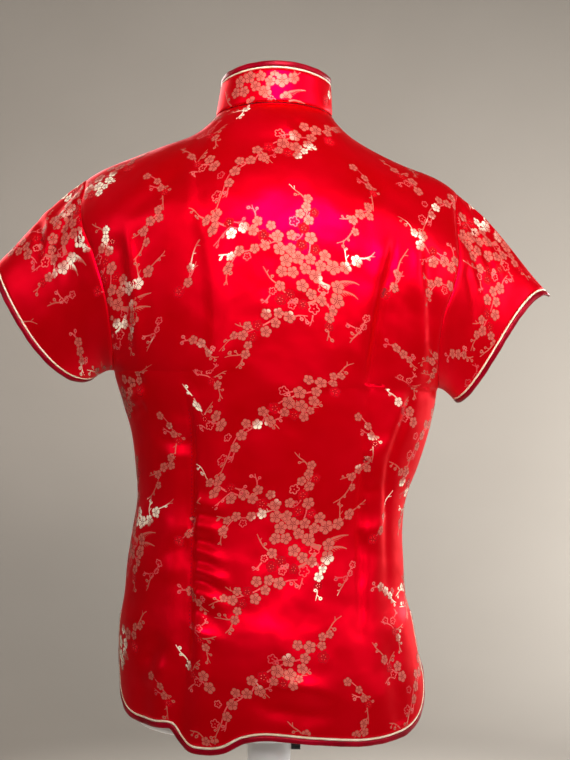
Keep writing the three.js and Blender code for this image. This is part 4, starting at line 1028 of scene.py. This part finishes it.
def drawBrocade(design):  # flat shapes as (points, tone, lift), across and down in mm
    rng = np.random.default_rng(design["seed"])
    shapes, placed = [], []
    lift, flower, twigShape, scatter = (design[part] for part in ("lift", "flower", "twig", "scatter"))
    cell = np.array([design["across"], design["down"]], float)

    def clearOf(at, radius):
        for other, size in placed:
            gap = np.abs(at - other) % cell
            if np.hypot(*np.minimum(gap, cell - gap)) < (radius + size) * scatter["apart"]:
                return False
        return True

    def ribbon(line, root, tip, tone, jag=0.0, height=lift["bough"], step=design["steps"]["ribbon"]):
        run = smoothLine(line, step)
        side = unit(np.stack([-np.gradient(run[:, 1]), np.gradient(run[:, 0])], -1))
        half = np.linspace(root, tip, len(run))[:, None] / 2
        left = run + side * half * (1 + jag * rng.uniform(-1, 1, (len(run), 1)))
        right = run - side * half * (1 + jag * rng.uniform(-1, 1, (len(run), 1)))
        for k in range(len(run) - 1):
            shapes.append(([left[k], right[k], right[k + 1], left[k + 1]], tone, height))

    def petalEdge(at, size, way, half, extra):
        edge = []
        for share in np.linspace(-1, 1, flower["points"]):
            reach = size * (flower["reach"] - flower["notch"] * abs(share) ** flower["notchPower"]) + extra
            edge.append(at + reach * compass(way + math.radians(half) * share))
        return edge

    def blossom(at, size, tone, turn):
        petalTone, dotTone = design["tones"][tone]
        heart, corners = flower["heart"], ((1, 0), (0, 1), (-1, 0), (0, -1))
        for k in range(flower["petals"]):
            a = turn + k * 2 * np.pi / flower["petals"]
            way = compass(a)
            if petalTone:
                edge = petalEdge(at, size, a, flower["outlineHalf"], flower["outlineWide"])
                shapes.append((edge + [at - flower["foot"] * way], "shade", lift["outline"]))
                petal = petalEdge(at, size, a, flower["half"], 0)
                petal.append(at + size * heart * way)
                shapes.append((petal, petalTone, lift["thread"]))
                dot = at + size * flower["dotAt"] * way
                speck = [dot + flower["dot"] * size * np.array(corner) for corner in corners]
                shapes.append((speck, dotTone, lift["dot"]))
            else:  # petals drawn as an arc of thread only
                middle, bow, thin = flower["arcAt"] * way, flower["arc"], flower["arcThick"]
                arc = [at + size * (middle + bow * compass(a + t)) for t in range(-2, 3)]
                ribbon(arc, thin, thin, dotTone, 0.0, lift["thread"], design["steps"]["arc"])
        ring = [at + size * heart * compass(t) for t in np.linspace(0, 2 * np.pi, 6, endpoint=False)]
        shapes.append((ring, petalTone or dotTone, lift["heart"]))

    def plume(at, angle, length, barbs):  # torn end of a bough: a bowed spine with barbs along its lower side
        at, shape = np.asarray(at, float), design["plume"]
        along, aside = compass(angle), np.array([-math.sin(angle), math.cos(angle)])

        def spineAt(t):
            return at + along * length * t - aside * shape["bow"] * math.sin(math.pi * t)

        ribbon([spineAt(t) for t in shape["spine"]], *shape["thick"], "gold", shape["jag"])
        for k in range(barbs):
            t = shape["barbFrom"] + shape["barbSpan"] * k / barbs
            base = spineAt(t)
            reach = length * shape["barbLong"] * (1 - shape["barbTaper"] * t)
            tip = base + along * reach * shape["barbAlong"]
            tip = tip + aside * reach * shape["barbAside"] * (1 - shape["barbFold"] * t)
            barb = [base, base + along * shape["barbThick"], tip + along * shape["barbTip"], tip]
            shapes.append((barb, "gold", lift["blade"]))

    def bud(at, size, tone):
        around = np.linspace(0, 2 * np.pi, 9, endpoint=False)
        ring = [at + size * 0.5 * np.array([math.cos(t), twigShape["budFlat"] * math.sin(t)]) for t in around]
        shapes.append((ring, tone, lift["thread"]))
        eyeTurns = np.linspace(*twigShape["eyeTurns"])
        eye = [at + size * twigShape["budEye"] * compass(t) for t in eyeTurns]
        shapes.append((eye, "shade", lift["dot"]))

    def twig(at, angle, length, tone):
        end = at
        line = [at]
        for k in range(3):
            angle += rng.uniform(-twigShape["bend"], twigShape["bend"])
            end = end + length / 3 * compass(angle)
            line.append(end)
        ribbon(line, *twigShape["thick"], tone)
        for k in (1, 2):
            spur = angle + rng.choice([-1, 1]) * rng.uniform(*twigShape["spurTurn"])
            reach = rng.uniform(*twigShape["spurLong"])
            tip = line[k] + reach * compass(spur)
            ribbon([line[k], tip], *twigShape["spurThick"], tone)
            if rng.random() < twigShape["budShare"]:
                bud(tip, rng.uniform(*twigShape["bud"]), tone)

    for line, root, tip, blooms, spread, size in design["boughs"]:
        run = smoothLine(line, design["steps"]["run"])
        ribbon(line, root, tip, *design["thick" if root > design["thickFrom"] else "thin"])
        if root > design["plumeFrom"]:  # blades past the root of the thickest bough
            for place, angle, length, barbs in design["plumes"]:
                plume(run[0] + place, angle, length, barbs)
        tries = made = 0
        while made < blooms and tries < scatter["tries"]:
            tries += 1
            k = int(len(run) * rng.random() ** scatter["toTip"]) % len(run)
            fromTip = 1 - k / len(run)
            away = rng.normal(0, 1, 2) * spread * (scatter["spread"][0] + scatter["spread"][1] * fromTip)
            taper = scatter["taper"][0] + scatter["taper"][1] * fromTip
            at, width = run[k] + away, size * rng.uniform(*scatter["size"]) * taper
            if not clearOf(at, width / 2):
                continue
            placed.append((at, width / 2))
            pick = rng.random()
            isStar = pick > 1 - design["starShare"]
            tone = "deep" if pick < design["deepShare"] else "star" if isStar else "gold"
            blossom(at, width, tone, rng.uniform(0, 2 * np.pi))
            made += 1
            if rng.random() < scatter["twigShare"]:
                out = math.atan2(*(away[::-1])) + rng.uniform(-scatter["sideTurn"], scatter["sideTurn"])
                twig(at + width * 0.5 * compass(out), out, rng.uniform(*scatter["sideTwig"]), "coral")
        heading = run[-1] - run[-4]
        forward = math.atan2(heading[1], heading[0])
        twig(run[-1], forward, rng.uniform(*scatter["endTwig"]), "gold")
        if len(run) > scatter["midFrom"]:
            place = run[int(len(run) * rng.uniform(*scatter["midPlace"]))]
            angle = forward + rng.choice([-1, 1]) * rng.uniform(*scatter["midTurn"])
            twig(place, angle, rng.uniform(*scatter["midTwig"]), rng.choice(["gold", "gold", "coral"]))
    return shapes


flatBrocade = drawBrocade(brocade)
toneSlot = {"gold": 0, "coral": 1, "shade": 2, "deep": 3}

drawn = {
    "points": np.concatenate([np.array(points) for points, _, _ in flatBrocade]),
    "sizes": np.array([len(points) for points, _, _ in flatBrocade]),
    "lift": np.repeat([lift for _, _, lift in flatBrocade], [len(points) for points, _, _ in flatBrocade]),
    "slot": np.array([toneSlot[tone] for _, tone, _ in flatBrocade]),
    "turns": np.array([np.sum(np.roll(p[:, 1], -1) * p[:, 0] - np.roll(p[:, 0], -1) * p[:, 1]) > 0
                       for p in (np.array(points) for points, _, _ in flatBrocade)]),
}
drawn["starts"] = runUp(drawn["sizes"])[:-1]


def layBrocade(name, sheet, rightward, shift):
    # rightward is the sign of u that the drawing's right side goes to, shift its place on the cloth in mm.
    grid = sheet["grid"]
    columns, count = grid.shape[:2]
    space, normals = grid.reshape(-1, 3), gridNormals(grid, sheet["outward"]).reshape(-1, 3)
    flat = np.stack([sheet["u"], sheet["v"], 0 * sheet["u"]], -1).reshape(-1, 3)
    quads = np.array(gridFaces(columns, count, False))
    triangles = np.concatenate([quads[:, [0, 1, 2]], quads[:, [0, 2, 3]]])
    tree = BVHTree.FromPolygons(flat.tolist(), triangles.tolist())
    low, high = flat.min(0), flat.max(0)
    spots, lifts, sizes, slots, turns = [], [], [], [], []
    repeats = range(-brocade["repeats"], brocade["repeats"] + 1)
    for i in repeats:
        for j in repeats:
            u = rightward * (drawn["points"][:, 0] - shift[0] + i * brocade["across"])
            v = shift[1] - drawn["points"][:, 1] + j * brocade["down"]
            inside = (u >= low[0]) & (u <= high[0]) & (v >= low[1]) & (v <= high[1])
            whole = np.logical_and.reduceat(inside, drawn["starts"])
            kept = np.repeat(whole, drawn["sizes"])
            spots.append(np.stack([u[kept], v[kept]], -1))
            lifts.append(drawn["lift"][kept])
            sizes.append(drawn["sizes"][whole])
            slots.append(drawn["slot"][whole])
            turns.append(drawn["turns"][whole])
    spots, lifts, sizes, slots, turns = (np.concatenate(part) for part in (spots, lifts, sizes, slots, turns))
    hits = [tree.find_nearest((a, b, 0.0), brocade["search"]) for a, b in spots.tolist()]
    found = np.array([hit[0] is not None and hit[3] < brocade["offCloth"] for hit in hits])
    index = np.array([hit[2] if hit[0] is not None else 0 for hit in hits])
    ia, ib, ic = triangles[index].T
    a = flat[ia, :2]
    ab, ac, ap = flat[ib, :2] - a, flat[ic, :2] - a, spots - a
    area = ab[:, 0] * ac[:, 1] - ab[:, 1] * ac[:, 0]
    wb = (ap[:, 0] * ac[:, 1] - ap[:, 1] * ac[:, 0]) / area
    wc = (ab[:, 0] * ap[:, 1] - ab[:, 1] * ap[:, 0]) / area
    wa = 1 - wb - wc

    def spread(values):
        return values[ia] * wa[:, None] + values[ib] * wb[:, None] + values[ic] * wc[:, None]

    normal = unit(spread(normals))
    verts = spread(space) + normal * lifts[:, None]
    starts = runUp(sizes)[:-1]
    whole = np.logical_and.reduceat(found, starts)
    kept = np.repeat(whole, sizes)
    renumbered = np.cumsum(kept) - 1
    first = int(np.argmax(whole))  # one whole shape shows which way round the drawing lies
    loop = verts[starts[first]:starts[first] + sizes[first]]
    spin = np.cross(loop - loop[0], np.roll(loop, -1, 0) - loop[0]).sum(0) @ normal[starts[first]] > 0
    faces = []
    for k in np.flatnonzero(whole):
        loop = renumbered[starts[k]:starts[k] + sizes[k]].tolist()
        faces.append(loop if (turns[k] == turns[first]) == spin else loop[::-1])
    threads = [goldThread, coralThread, shadeThread, deepThread]
    obj = newObject(name, verts[kept] * mm, faces, spots[kept] * mm, threads, normal[kept])
    obj.data.polygons.foreach_set("material_index", slots[whole].tolist())
    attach(obj, "root")
    return obj


motifs = {
    "back": layBrocade("backBrocade", back, -1, (98, 415)),
    "frontLeft": layBrocade("frontLeftBrocade", frontLeft, 1, (60, 372)),
    "frontRight": layBrocade("frontRightBrocade", frontRight, 1, (60, 372)),
    "sleeveLeft": layBrocade("sleeveLeftBrocade", sleeveLeft, 1, (78, 44)),
    "sleeveRight": layBrocade("sleeveRightBrocade", sleeveRight, -1, (165, 40)),
    "collar": layBrocade("collarBrocade", collarSheet, -1, (146, 104)),
}
print("stage: brocade", {k: len(o.data.polygons) for k, o in motifs.items()})

# frog fastenings: modelled once flat, then laid on the front at each height
frogs = {
    "heights": [786, 704, 622, 540, 458], "clear": 0.8, "cord": 1.55, "cordSides": 9, "beside": 0.12,
    "ball": 3.9, "ballCord": 1.25, "ballSides": 8, "coreSides": 14, "coreEnd": 0.3, "seat": 0.1,
    "knotPoints": 110, "loopPoints": 150, "nearlyUp": (0.03, 0.05, 1.0),  # no cord runs along nearlyUp
    "plait": {"points": 120, "tilt": 1.12, "over": 0.35, "turn": 0.9},
    "bight": {"radius": 6.1, "turns": (138, 110, 80, 45, 0, -45, -80, -110, -138)},
    "uv": {"round": 0.010, "along": 0.0009},
}


def frontPlace(x, z, lift):
    step = clothProbe["slope"]
    y = bodyDepth(-1, x, z)
    slopeX = (bodyDepth(-1, x + step, z) - bodyDepth(-1, x - step, z)) / (2 * step)
    slopeZ = (bodyDepth(-1, x, z + step) - bodyDepth(-1, x, z - step)) / (2 * step)
    normal = unit(np.stack([-slopeX, -np.ones_like(y), -slopeZ], -1))
    return np.stack([x, -y, z], -1) + normal * lift[..., None]


def cordSections(route, radius, sides, ring):  # round cord along a route in flat frog space: x, up, lift
    run = unit(np.roll(route, -1, 0) - np.roll(route, 1, 0) if ring else np.gradient(route, axis=0))
    across = unit(np.cross(run, np.array(frogs["nearlyUp"])))
    lift = np.cross(across, run)
    turn = np.linspace(0, 2 * np.pi, sides, endpoint=False)
    wound = np.asarray(radius).reshape(-1, 1, 1)
    c, s = np.cos(turn)[None, :, None], np.sin(turn)[None, :, None]
    return route[:, None] + wound * (across[:, None] * c + lift[:, None] * s)


def otherSide(route):  # the way back of a doubled cord
    return [(x, -up, lift) for x, up, lift in route[::-1]]


def frogKnotFlat():
    low, beside = frogs["clear"] + frogs["cord"], frogs["cord"] + frogs["beside"]
    high = frogs["clear"] + frogs["ball"] + frogs["ballCord"] + frogs["seat"]
    leg = [(4.5, 0.6, high), (8, 1.0, high - 0.5), (12, beside, low + 0.6), (18, beside, low)]
    leg += [(34, beside, low), (44, beside, low), (47.6, 1.3, low)]
    fold = smoothThrough(leg + [(48.4, 0, low)] + otherSide(leg), frogs["knotPoints"])
    plait, ball = frogs["plait"], frogs["ball"]
    t = np.linspace(0, 2 * np.pi, plait["points"], endpoint=False)
    latitude, longitude = plait["tilt"] * np.sin(3 * t), 2 * t  # plaited button knot
    shell = ball + plait["over"] * np.sin(6 * t + plait["turn"])
    level = shell * np.cos(latitude)
    lift = high + level * np.sin(longitude)
    knot = np.stack([shell * np.sin(latitude), level * np.cos(longitude), lift], -1)
    axis = smoothThrough([(-ball, 0, high), (0, 0, high), (ball, 0, high)], frogs["coreSides"])
    girth = np.sqrt(np.maximum(1 - np.linspace(-1, 1, len(axis)) ** 2, 0)) * ball
    return [
        (cordSections(fold, frogs["cord"], frogs["cordSides"], False), False),
        (cordSections(knot, frogs["ballCord"], frogs["ballSides"], True), True),
        (cordSections(axis, np.maximum(girth, frogs["coreEnd"]), frogs["coreSides"], False), False),
    ]


def frogLoopFlat():
    low, beside = frogs["clear"] + frogs["cord"], frogs["cord"] + frogs["beside"]
    leg = [(-44, beside, low), (-30, beside, low), (-18, beside, low), (-9.5, beside + 0.4, low)]
    radius, turns = frogs["bight"]["radius"], [math.radians(turn) for turn in frogs["bight"]["turns"]]
    bight = [(radius * math.cos(a), radius * math.sin(a), low) for a in turns]
    end = [(-47.8, -1.2, low), (-48.6, 0, low), (-47.8, 1.2, low), leg[0]]
    route = smoothThrough(leg + bight + otherSide(leg) + end, frogs["loopPoints"])[:-1]
    return [(cordSections(route, frogs["cord"], frogs["cordSides"], True), True)]


def layFrog(name, strands, z, node):
    middle = float(curveAt(torsoCentre, z))
    verts, faces, uvs = [], [], []
    around, along = frogs["uv"]["round"], frogs["uv"]["along"]
    for sections, ring in strands:
        count, sides = sections.shape[:2]
        first = len(verts)
        flat = sections.reshape(-1, 3)
        verts += (frontPlace(middle + flat[:, 0], z + flat[:, 1], flat[:, 2]) * mm).tolist()
        uvs += [(j / sides * around, i * along) for i in range(count) for j in range(sides)]
        faces += tubeWalls(count, sides, ring, first)
        if not ring:
            faces += [cap[::-1] for cap in tubeCaps(count, sides, first)]
    obj = newObject(name, verts, faces, uvs, [frogCord])
    editAll(obj, bpy.ops.mesh.normals_make_consistent, inside=False)
    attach(obj, "root")
    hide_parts(node)
    return obj


knotFlat, loopFlat = frogKnotFlat(), frogLoopFlat()
for number, height in enumerate(frogs["heights"], 1):
    layFrog(f"frogKnot{number}", knotFlat, height, f"frog_{number}_knot")
    layFrog(f"frogLoop{number}", loopFlat, height, f"frog_{number}_loop")
print("stage: frogs")

# stitches: small tacks beside the frogs and down the dart
stitches = {
    "long": 2.0, "tack": 1.7, "thick": 0.28, "sides": 6, "pitch": 3.6, "lift": 0.1,
    # along a stitch: share of its length, of its thickness, and height in mm
    "stations": [(-0.5, 0.4, -0.35), (-0.3, 1, 0.0), (0.3, 1, 0.0), (0.5, 0.4, -0.35)],
    "uvRound": 0.0004,
    "tackRows": (3.5, -3.5), "tackAcross": (16, 48, 5.2), "tackWay": (0.3, 0, 0.95),
    "dart": [(77, 562), (74, 545), (72.4, 520), (72.2, 470), (72.4, 410), (73.5, 345)],
}


def stitchPiece(name, places, ways, normals, length):
    verts, faces, uvs = [], [], []
    sides, stations = stitches["sides"], stitches["stations"]
    for place, way, normal in zip(places, ways, normals):
        across = unit(np.cross(way, normal))
        first = len(verts)
        for share, girth, height in stations:
            radius = stitches["thick"] * girth
            for a in range(sides):
                t = a * 2 * np.pi / sides
                rise = height + radius * math.sin(t)
                point = place + way * length * share + across * radius * math.cos(t) + normal * rise
                verts.append(point * mm)
                uvs.append((a * stitches["uvRound"], share * length * mm))
        faces += tubeWalls(len(stations), sides, False, first) + tubeCaps(len(stations), sides, first)
    obj = newObject(name, verts, faces, uvs, [frogCord])
    editAll(obj, bpy.ops.mesh.normals_make_consistent, inside=False)
    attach(obj, "root")
    return obj


def gridLookup(sheet, line):  # nearest cloth points of a line given across and up
    grid = sheet["grid"].reshape(-1, 3)
    normals = gridNormals(sheet["grid"], sheet["outward"]).reshape(-1, 3)
    picked = [int(np.argmin((grid[:, 0] - x) ** 2 + (grid[:, 2] - z) ** 2)) for x, z in line]
    return np.array([[line[k][0], grid[i][1], line[k][1]] for k, i in enumerate(picked)]), normals[picked]


dartLine = smoothLine(stitches["dart"], stitches["pitch"])
dartAt, dartNormals = gridLookup(back, dartLine)
dartWays = unit(np.gradient(dartAt, axis=0))
dartPlaces = dartAt + dartNormals * stitches["lift"]
dartStitches = stitchPiece("dartStitches", dartPlaces, dartWays, dartNormals, stitches["long"])


def frogTacks(side, height):
    sheet = frontLeft if side > 0 else frontRight
    middle, across = float(curveAt(torsoCentre, height)), np.arange(*stitches["tackAcross"])
    line = [(side * x + middle, height + up) for up in stitches["tackRows"] for x in across]
    at, normals = gridLookup(sheet, line)
    ways = np.tile(np.array(stitches["tackWay"]), (len(at), 1))
    return at, ways, normals


tacks = [frogTacks(side, height) for side in (1, -1) for height in frogs["heights"]]
stitchPiece("frogStitches", *[np.concatenate(part) for part in zip(*tacks)], stitches["tack"])
print("stage: stitches")

# dress form: smooth moulded shell
form = {
    "clear": [
        (225, 19), (262, 16), (320, 10), (440, 9.5), (560, 8), (640, 5), (700, 3.4), (740, 4), (850, 4),
    ],
    "rings": [
        240, 252, 276, 308, 340, 380, 420, 460, 500, 540, 580, 610, 640, 670, 700, 724, 742, 756, 766, 775,
        784, 793, 802, 811, 820, 829,
    ],
    "sides": 72, "bottom": {"z": 233, "centre": 60, "inset": 14, "roundZ": 236, "roundInset": 5},
    "neck": {"half": 50, "back": 43, "front": 46, "from": 840, "top": 866},
    "neckRings": [(4, 0), (1.2, 1.6), (0, 5), (0, 20)],  # how far below the top and in from the side
    "cap": (18, 28), "capPasses": 2, "search": {"outer": 220.0, "halvings": 22},
    "underTop": 1.08, "spare": 1,  # share of the gap kept under the cloth's top, and mm kept off its edge
}


def insideCloth(x, y, z, gap):
    centre, step = curveAt(torsoCentre, z), clothProbe["slope"]
    depth = {}
    for face in (1, -1):
        deep = bodyDepth(face, x, z)
        slopeUp = (bodyDepth(face, x, z - step) - deep) / step
        slopeOut = (bodyDepth(face, x - step, z) - deep) / step
        steep = np.sqrt(1 + slopeUp ** 2 + slopeOut ** 2)
        low = panelTop(face, x)[1] - z >= gap * form["underTop"]
        limit = np.where(x >= centre, sideLimit(face, 1, z), sideLimit(face, -1, z))
        depth[face] = low & (np.abs(y) < deep - gap * steep) & (np.abs(x) <= limit - gap - form["spare"])
    return np.where(y >= 0, depth[1], depth[-1])


def sideLimit(face, side, z):
    hole = armholes[side]
    if float(z[0]) > hole["under"]:
        return float(curveAt(hole["seam"], z[0]))
    return abs(float(curveAt(torsoCentre, z[0])) + side * float(panelEdge(face, side, z[0])[1]))


def formRing(z, inset):
    gap = float(curveAt(form["clear"], z)) + inset
    centre = float(curveAt(torsoCentre, z))
    turn = np.linspace(0, 2 * np.pi, form["sides"], endpoint=False)
    inner, level = np.zeros(len(turn)), np.full(len(turn), float(z))
    outer = np.full(len(turn), form["search"]["outer"])
    for _ in range(form["search"]["halvings"]):
        reach = (inner + outer) / 2
        inside = insideCloth(centre + reach * np.sin(turn), reach * np.cos(turn), level, gap)
        inner, outer = np.where(inside, reach, inner), np.where(inside, outer, reach)
    return np.stack([centre + inner * np.sin(turn), inner * np.cos(turn), level], -1)


def neckRing(z, inset):
    turn = np.linspace(0, 2 * np.pi, form["sides"], endpoint=False)
    deep = np.where(np.cos(turn) > 0, form["neck"]["back"], form["neck"]["front"]) - inset
    x = neck["centre"] + (form["neck"]["half"] - inset) * np.sin(turn)
    return np.stack([x, deep * np.cos(turn), np.full(len(turn), float(z))], -1)


def makeForm():
    bottom, top = form["bottom"], form["neck"]["top"]
    first = formRing(bottom["roundZ"], bottom["inset"])
    first[:, 2] = bottom["z"]
    floor = formRing(bottom["roundZ"], bottom["centre"]) * [1, 1, 0] + [0, 0, bottom["z"]]
    rings = [floor, first, formRing(bottom["roundZ"], bottom["roundInset"])]
    rings += [formRing(z, 0) for z in form["rings"]] + [neckRing(form["neck"]["from"], 0)]
    rings += [neckRing(top - below, inset) for below, inset in form["neckRings"]]
    grid = np.array(rings)
    cap = slice(*form["cap"])
    for _ in range(form["capPasses"]):  # eases the shoulders' cap, ring by ring
        middle = (grid[cap] + (np.roll(grid, 1, 1) + np.roll(grid, -1, 1))[cap]) / 3
        grid[cap, :, :2] = middle[..., :2]
    count, sides = grid.shape[:2]
    faces = tubeWalls(count, sides, False)
    verts = grid.reshape(-1, 3).tolist() + [[0, 0, bottom["z"]], [neck["centre"], 0, top]]
    low, high = len(verts) - 2, len(verts) - 1
    for j in range(sides):
        faces.append(((j + 1) % sides, j, low))
        faces.append(((count - 1) * sides + j, (count - 1) * sides + (j + 1) % sides, high))
    obj = newObject("formShell", np.array(verts) * mm, faces, None, [formGloss])
    editAll(obj, bpy.ops.mesh.normals_make_consistent, inside=False)
    rounder = obj.modifiers.new("rounder", "SUBSURF")
    rounder.levels = rounder.render_levels = 1
    bpy.ops.object.modifier_apply(modifier="rounder")
    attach(obj, "root")
    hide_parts("form_torso")
    return obj


makeForm()
print("stage: form")

# stand: round foot, pole, socket and thumb screw, each with its bevel's width and segments
stand = {
    "foot": {
        "radius": 140, "edge": 8, "top": 14, "hub": 22, "hubTop": 26, "sides": 128, "step": 6, "rise": 3,
        "bore": 7, "boreDeep": 1.5, "bevel": (1.4, 3),
    },
    "pole": {"radius": 12.5, "from": 26.3, "to": 159.7, "sides": 64, "bevel": (0.5, 2)},
    "socket": {
        "bottom": 160, "top": 232.6, "low": 19, "high": 23.5, "wall": 2, "deep": 2.2, "sides": 72,
        "bevel": (0.8, 3),
    },
    "knob": {
        "z": 211, "radius": 4.2, "length": 9, "ridges": 18, "seat": 1.2, "ridge": 0.045, "wall": 0.9,
        "deep": 0.5, "bevel": (0.25, 2),
    },
    "bevelAngle": 28, "smoothAngle": 32,
}


def startPrimitive(name, adder, **settings):
    bpy.ops.object.select_all(action="DESELECT")
    adder(**settings)
    obj = bpy.context.object
    obj.name = obj.data.name = name
    bpy.ops.object.transform_apply(location=True, rotation=True, scale=True)
    return obj


def selectFaces(obj, test):
    bpy.ops.object.mode_set(mode="OBJECT")
    for part in (*obj.data.polygons, *obj.data.edges, *obj.data.vertices):
        part.select = False
    for polygon in obj.data.polygons:
        if test(polygon):
            polygon.select = True
    bpy.ops.object.mode_set(mode="EDIT")
    bpy.ops.mesh.select_mode(type="FACE")


def stepFaces(steps, axis=2):  # insets the chosen faces and moves them along an axis, in mm
    for inset, move in steps:
        bpy.ops.mesh.inset(thickness=inset * mm)
        way = [0, 0, 0]
        way[axis] = move * mm
        bpy.ops.transform.translate(value=way)


def finishHard(obj, bevel, material, node):
    bpy.ops.object.mode_set(mode="OBJECT")
    onlySelect(obj)
    edge = obj.modifiers.new("edges", "BEVEL")
    edge.width, edge.segments = bevel[0] * mm, bevel[1]
    edge.limit_method, edge.angle_limit = "ANGLE", math.radians(stand["bevelAngle"])
    bpy.ops.object.modifier_apply(modifier="edges")
    bpy.ops.object.shade_smooth_by_angle(angle=math.radians(stand["smoothAngle"]))
    obj.data.materials.append(material)
    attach(obj, "root")
    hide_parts(node)
    return obj


def makeFoot():
    size = stand["foot"]
    step, rise, edge = size["step"], size["rise"], size["edge"]
    obj = startPrimitive("standFoot", bpy.ops.mesh.primitive_cylinder_add, vertices=size["sides"],
                         radius=size["radius"] * mm, depth=edge * mm, location=(0, 0, edge * mm / 2))
    selectFaces(obj, lambda face: face.normal.z > 0.9 and face.center.z > (edge - 1) * mm)
    stepFaces([
        (step, size["top"] - edge), (size["radius"] - step - size["hub"] - step, rise),
        (step, size["hubTop"] - size["top"] - rise), (size["bore"], -size["boreDeep"]),
    ])
    return finishHard(obj, size["bevel"], paintedSteel, "form_base")


def makePole():
    size = stand["pole"]
    obj = startPrimitive("standPole", bpy.ops.mesh.primitive_cylinder_add, vertices=size["sides"],
                         radius=size["radius"] * mm, depth=(size["to"] - size["from"]) * mm,
                         location=(0, 0, (size["to"] + size["from"]) / 2 * mm))
    return finishHard(obj, size["bevel"], paintedSteel, "form_pole")


def makeSocket():
    size = stand["socket"]
    tall = size["top"] - size["bottom"]
    obj = startPrimitive("formSocketShell", bpy.ops.mesh.primitive_cone_add, vertices=size["sides"],
                         radius1=size["low"] * mm, radius2=size["high"] * mm, depth=tall * mm,
                         location=(0, 0, (size["bottom"] + tall / 2) * mm))
    selectFaces(obj, lambda face: face.normal.z < -0.9)
    stepFaces([(size["wall"], size["deep"])])
    return finishHard(obj, size["bevel"], formGloss, "form_socket")


def makeScrew():
    size = stand["knob"]
    x = -(stand["socket"]["high"] - size["seat"] + size["length"] / 2)
    obj = startPrimitive("thumbScrew", bpy.ops.mesh.primitive_cylinder_add, vertices=size["ridges"] * 4,
                         radius=size["radius"] * mm, depth=size["length"] * mm,
                         location=(x * mm, 0, size["z"] * mm), rotation=(0, math.pi / 2, 0))
    for vertex in obj.data.vertices:  # ribs of the grip
        turn = math.atan2(vertex.co.y, vertex.co.z - size["z"] * mm)
        pull = 1 - size["ridge"] + size["ridge"] * math.cos(turn * size["ridges"])
        vertex.co.y *= pull
        vertex.co.z = size["z"] * mm + (vertex.co.z - size["z"] * mm) * pull
    selectFaces(obj, lambda face: face.normal.x < -0.9)
    stepFaces([(size["wall"], size["deep"])], axis=0)
    return finishHard(obj, size["bevel"], knobNylon, "form_knob")


for makePart in (makeFoot, makePole, makeSocket, makeScrew):
    makePart()
print("stage: stand")

# floor, backdrop, light and camera
studio = {
    "camera": {"at": (-0.016, 1.25, 0.576), "focalPx": 1250, "frameTall": 760, "sensor": 24},
    "lights": [  # name, place, aim, width, height, spread in degrees, power, colour
        ("keyLight", (-0.62, 2.2, 1.75), (-0.3, 0, 1.2), 1.7, 1.3, 52, 19, "#FFF6F4"),
        ("sideLight", (-2.1, 0.9, 1.1), (-0.2, 0, 0.72), 0.7, 1.2, 110, 6, "#FFF8FA"),
        ("fillLight", (1.9, 1.2, 1.3), (0, 0, 0.66), 0.6, 1.0, 120, 2.1, "#F4F6FF"),
        ("frontLight", (0.9, -1.3, 1.1), (0, 0, 0.6), 1.2, 0.9, 120, 7.5, "#FFFAF4"),
        ("wallLight", (-1.9, -1.2, 0.6), (-0.9, -2.3, 0.35), 0.5, 1.5, 150, 88, "#FAFCFF"),
        ("lowLight", (-1.35, -1.0, 0.75), (-0.75, -1.3, 0.0), 0.9, 0.9, 180, 40, "#FAFCFF"),
    ],
    "world": ("#B9B4AC", 0.25), "floorRings": (0.3, 0.6), "floorRadius": 0.9,
    "coveRadius": 2.6, "coveTall": 3.4, "coveSides": 96, "coveSteps": 24,
}


def makeCove():  # pale floor that rises all round in one wide bend to a wall
    radius, sides = studio["coveRadius"], studio["coveSides"]
    bend = radius - studio["floorRadius"]
    rise = np.linspace(0, math.pi / 2, studio["coveSteps"])
    profile = [(ring, 0) for ring in studio["floorRings"]]
    profile += [(radius - bend * (1 - math.sin(a)), bend * (1 - math.cos(a))) for a in rise]
    profile.append((radius, studio["coveTall"]))
    around = np.linspace(0, 2 * math.pi, sides, endpoint=False)
    verts = [(r * math.cos(t), r * math.sin(t), z) for r, z in profile for t in around]
    faces = [face[::-1] for face in tubeWalls(len(profile), sides, False)]
    faces.append(tuple(range(sides)))
    obj = newObject("studioFloor", verts, faces, None, [floorPaper])
    obj.visible_shadow = False
    return obj


makeCove()
for name, place, aim, width, height, spread, power, tint in studio["lights"]:
    lamp = bpy.data.lights.new(name, "AREA")
    lamp.shape, lamp.size, lamp.size_y = "RECTANGLE", width, height
    lamp.energy, lamp.color = power, colour(tint)[:3]
    lamp.spread = math.radians(spread)
    holder = bpy.data.objects.new(name, lamp)
    holder.location = place
    holder.rotation_euler = (Vector(aim) - Vector(place)).to_track_quat("-Z", "Y").to_euler()
    holder.visible_camera = False
    bpy.context.scene.collection.objects.link(holder)
world = bpy.data.worlds.new("studioWorld")
world.use_nodes = True
backdrop = world.node_tree.nodes["Background"]
backdrop.inputs["Color"].default_value = colour(studio["world"][0])
backdrop.inputs["Strength"].default_value = studio["world"][1]
bpy.context.scene.world = world
lens = bpy.data.cameras.new("viewCamera")
view = studio["camera"]
lens.sensor_fit, lens.sensor_height = "VERTICAL", view["sensor"]
lens.lens = view["sensor"] * view["focalPx"] / view["frameTall"]
camera = bpy.data.objects.new("viewCamera", lens)
camera.location = view["at"]
camera.rotation_euler = (math.pi / 2, 0, math.pi)
bpy.context.scene.collection.objects.link(camera)
bpy.context.scene.camera = camera
bpy.context.scene.view_settings.view_transform = "Standard"
print("stage: studio")
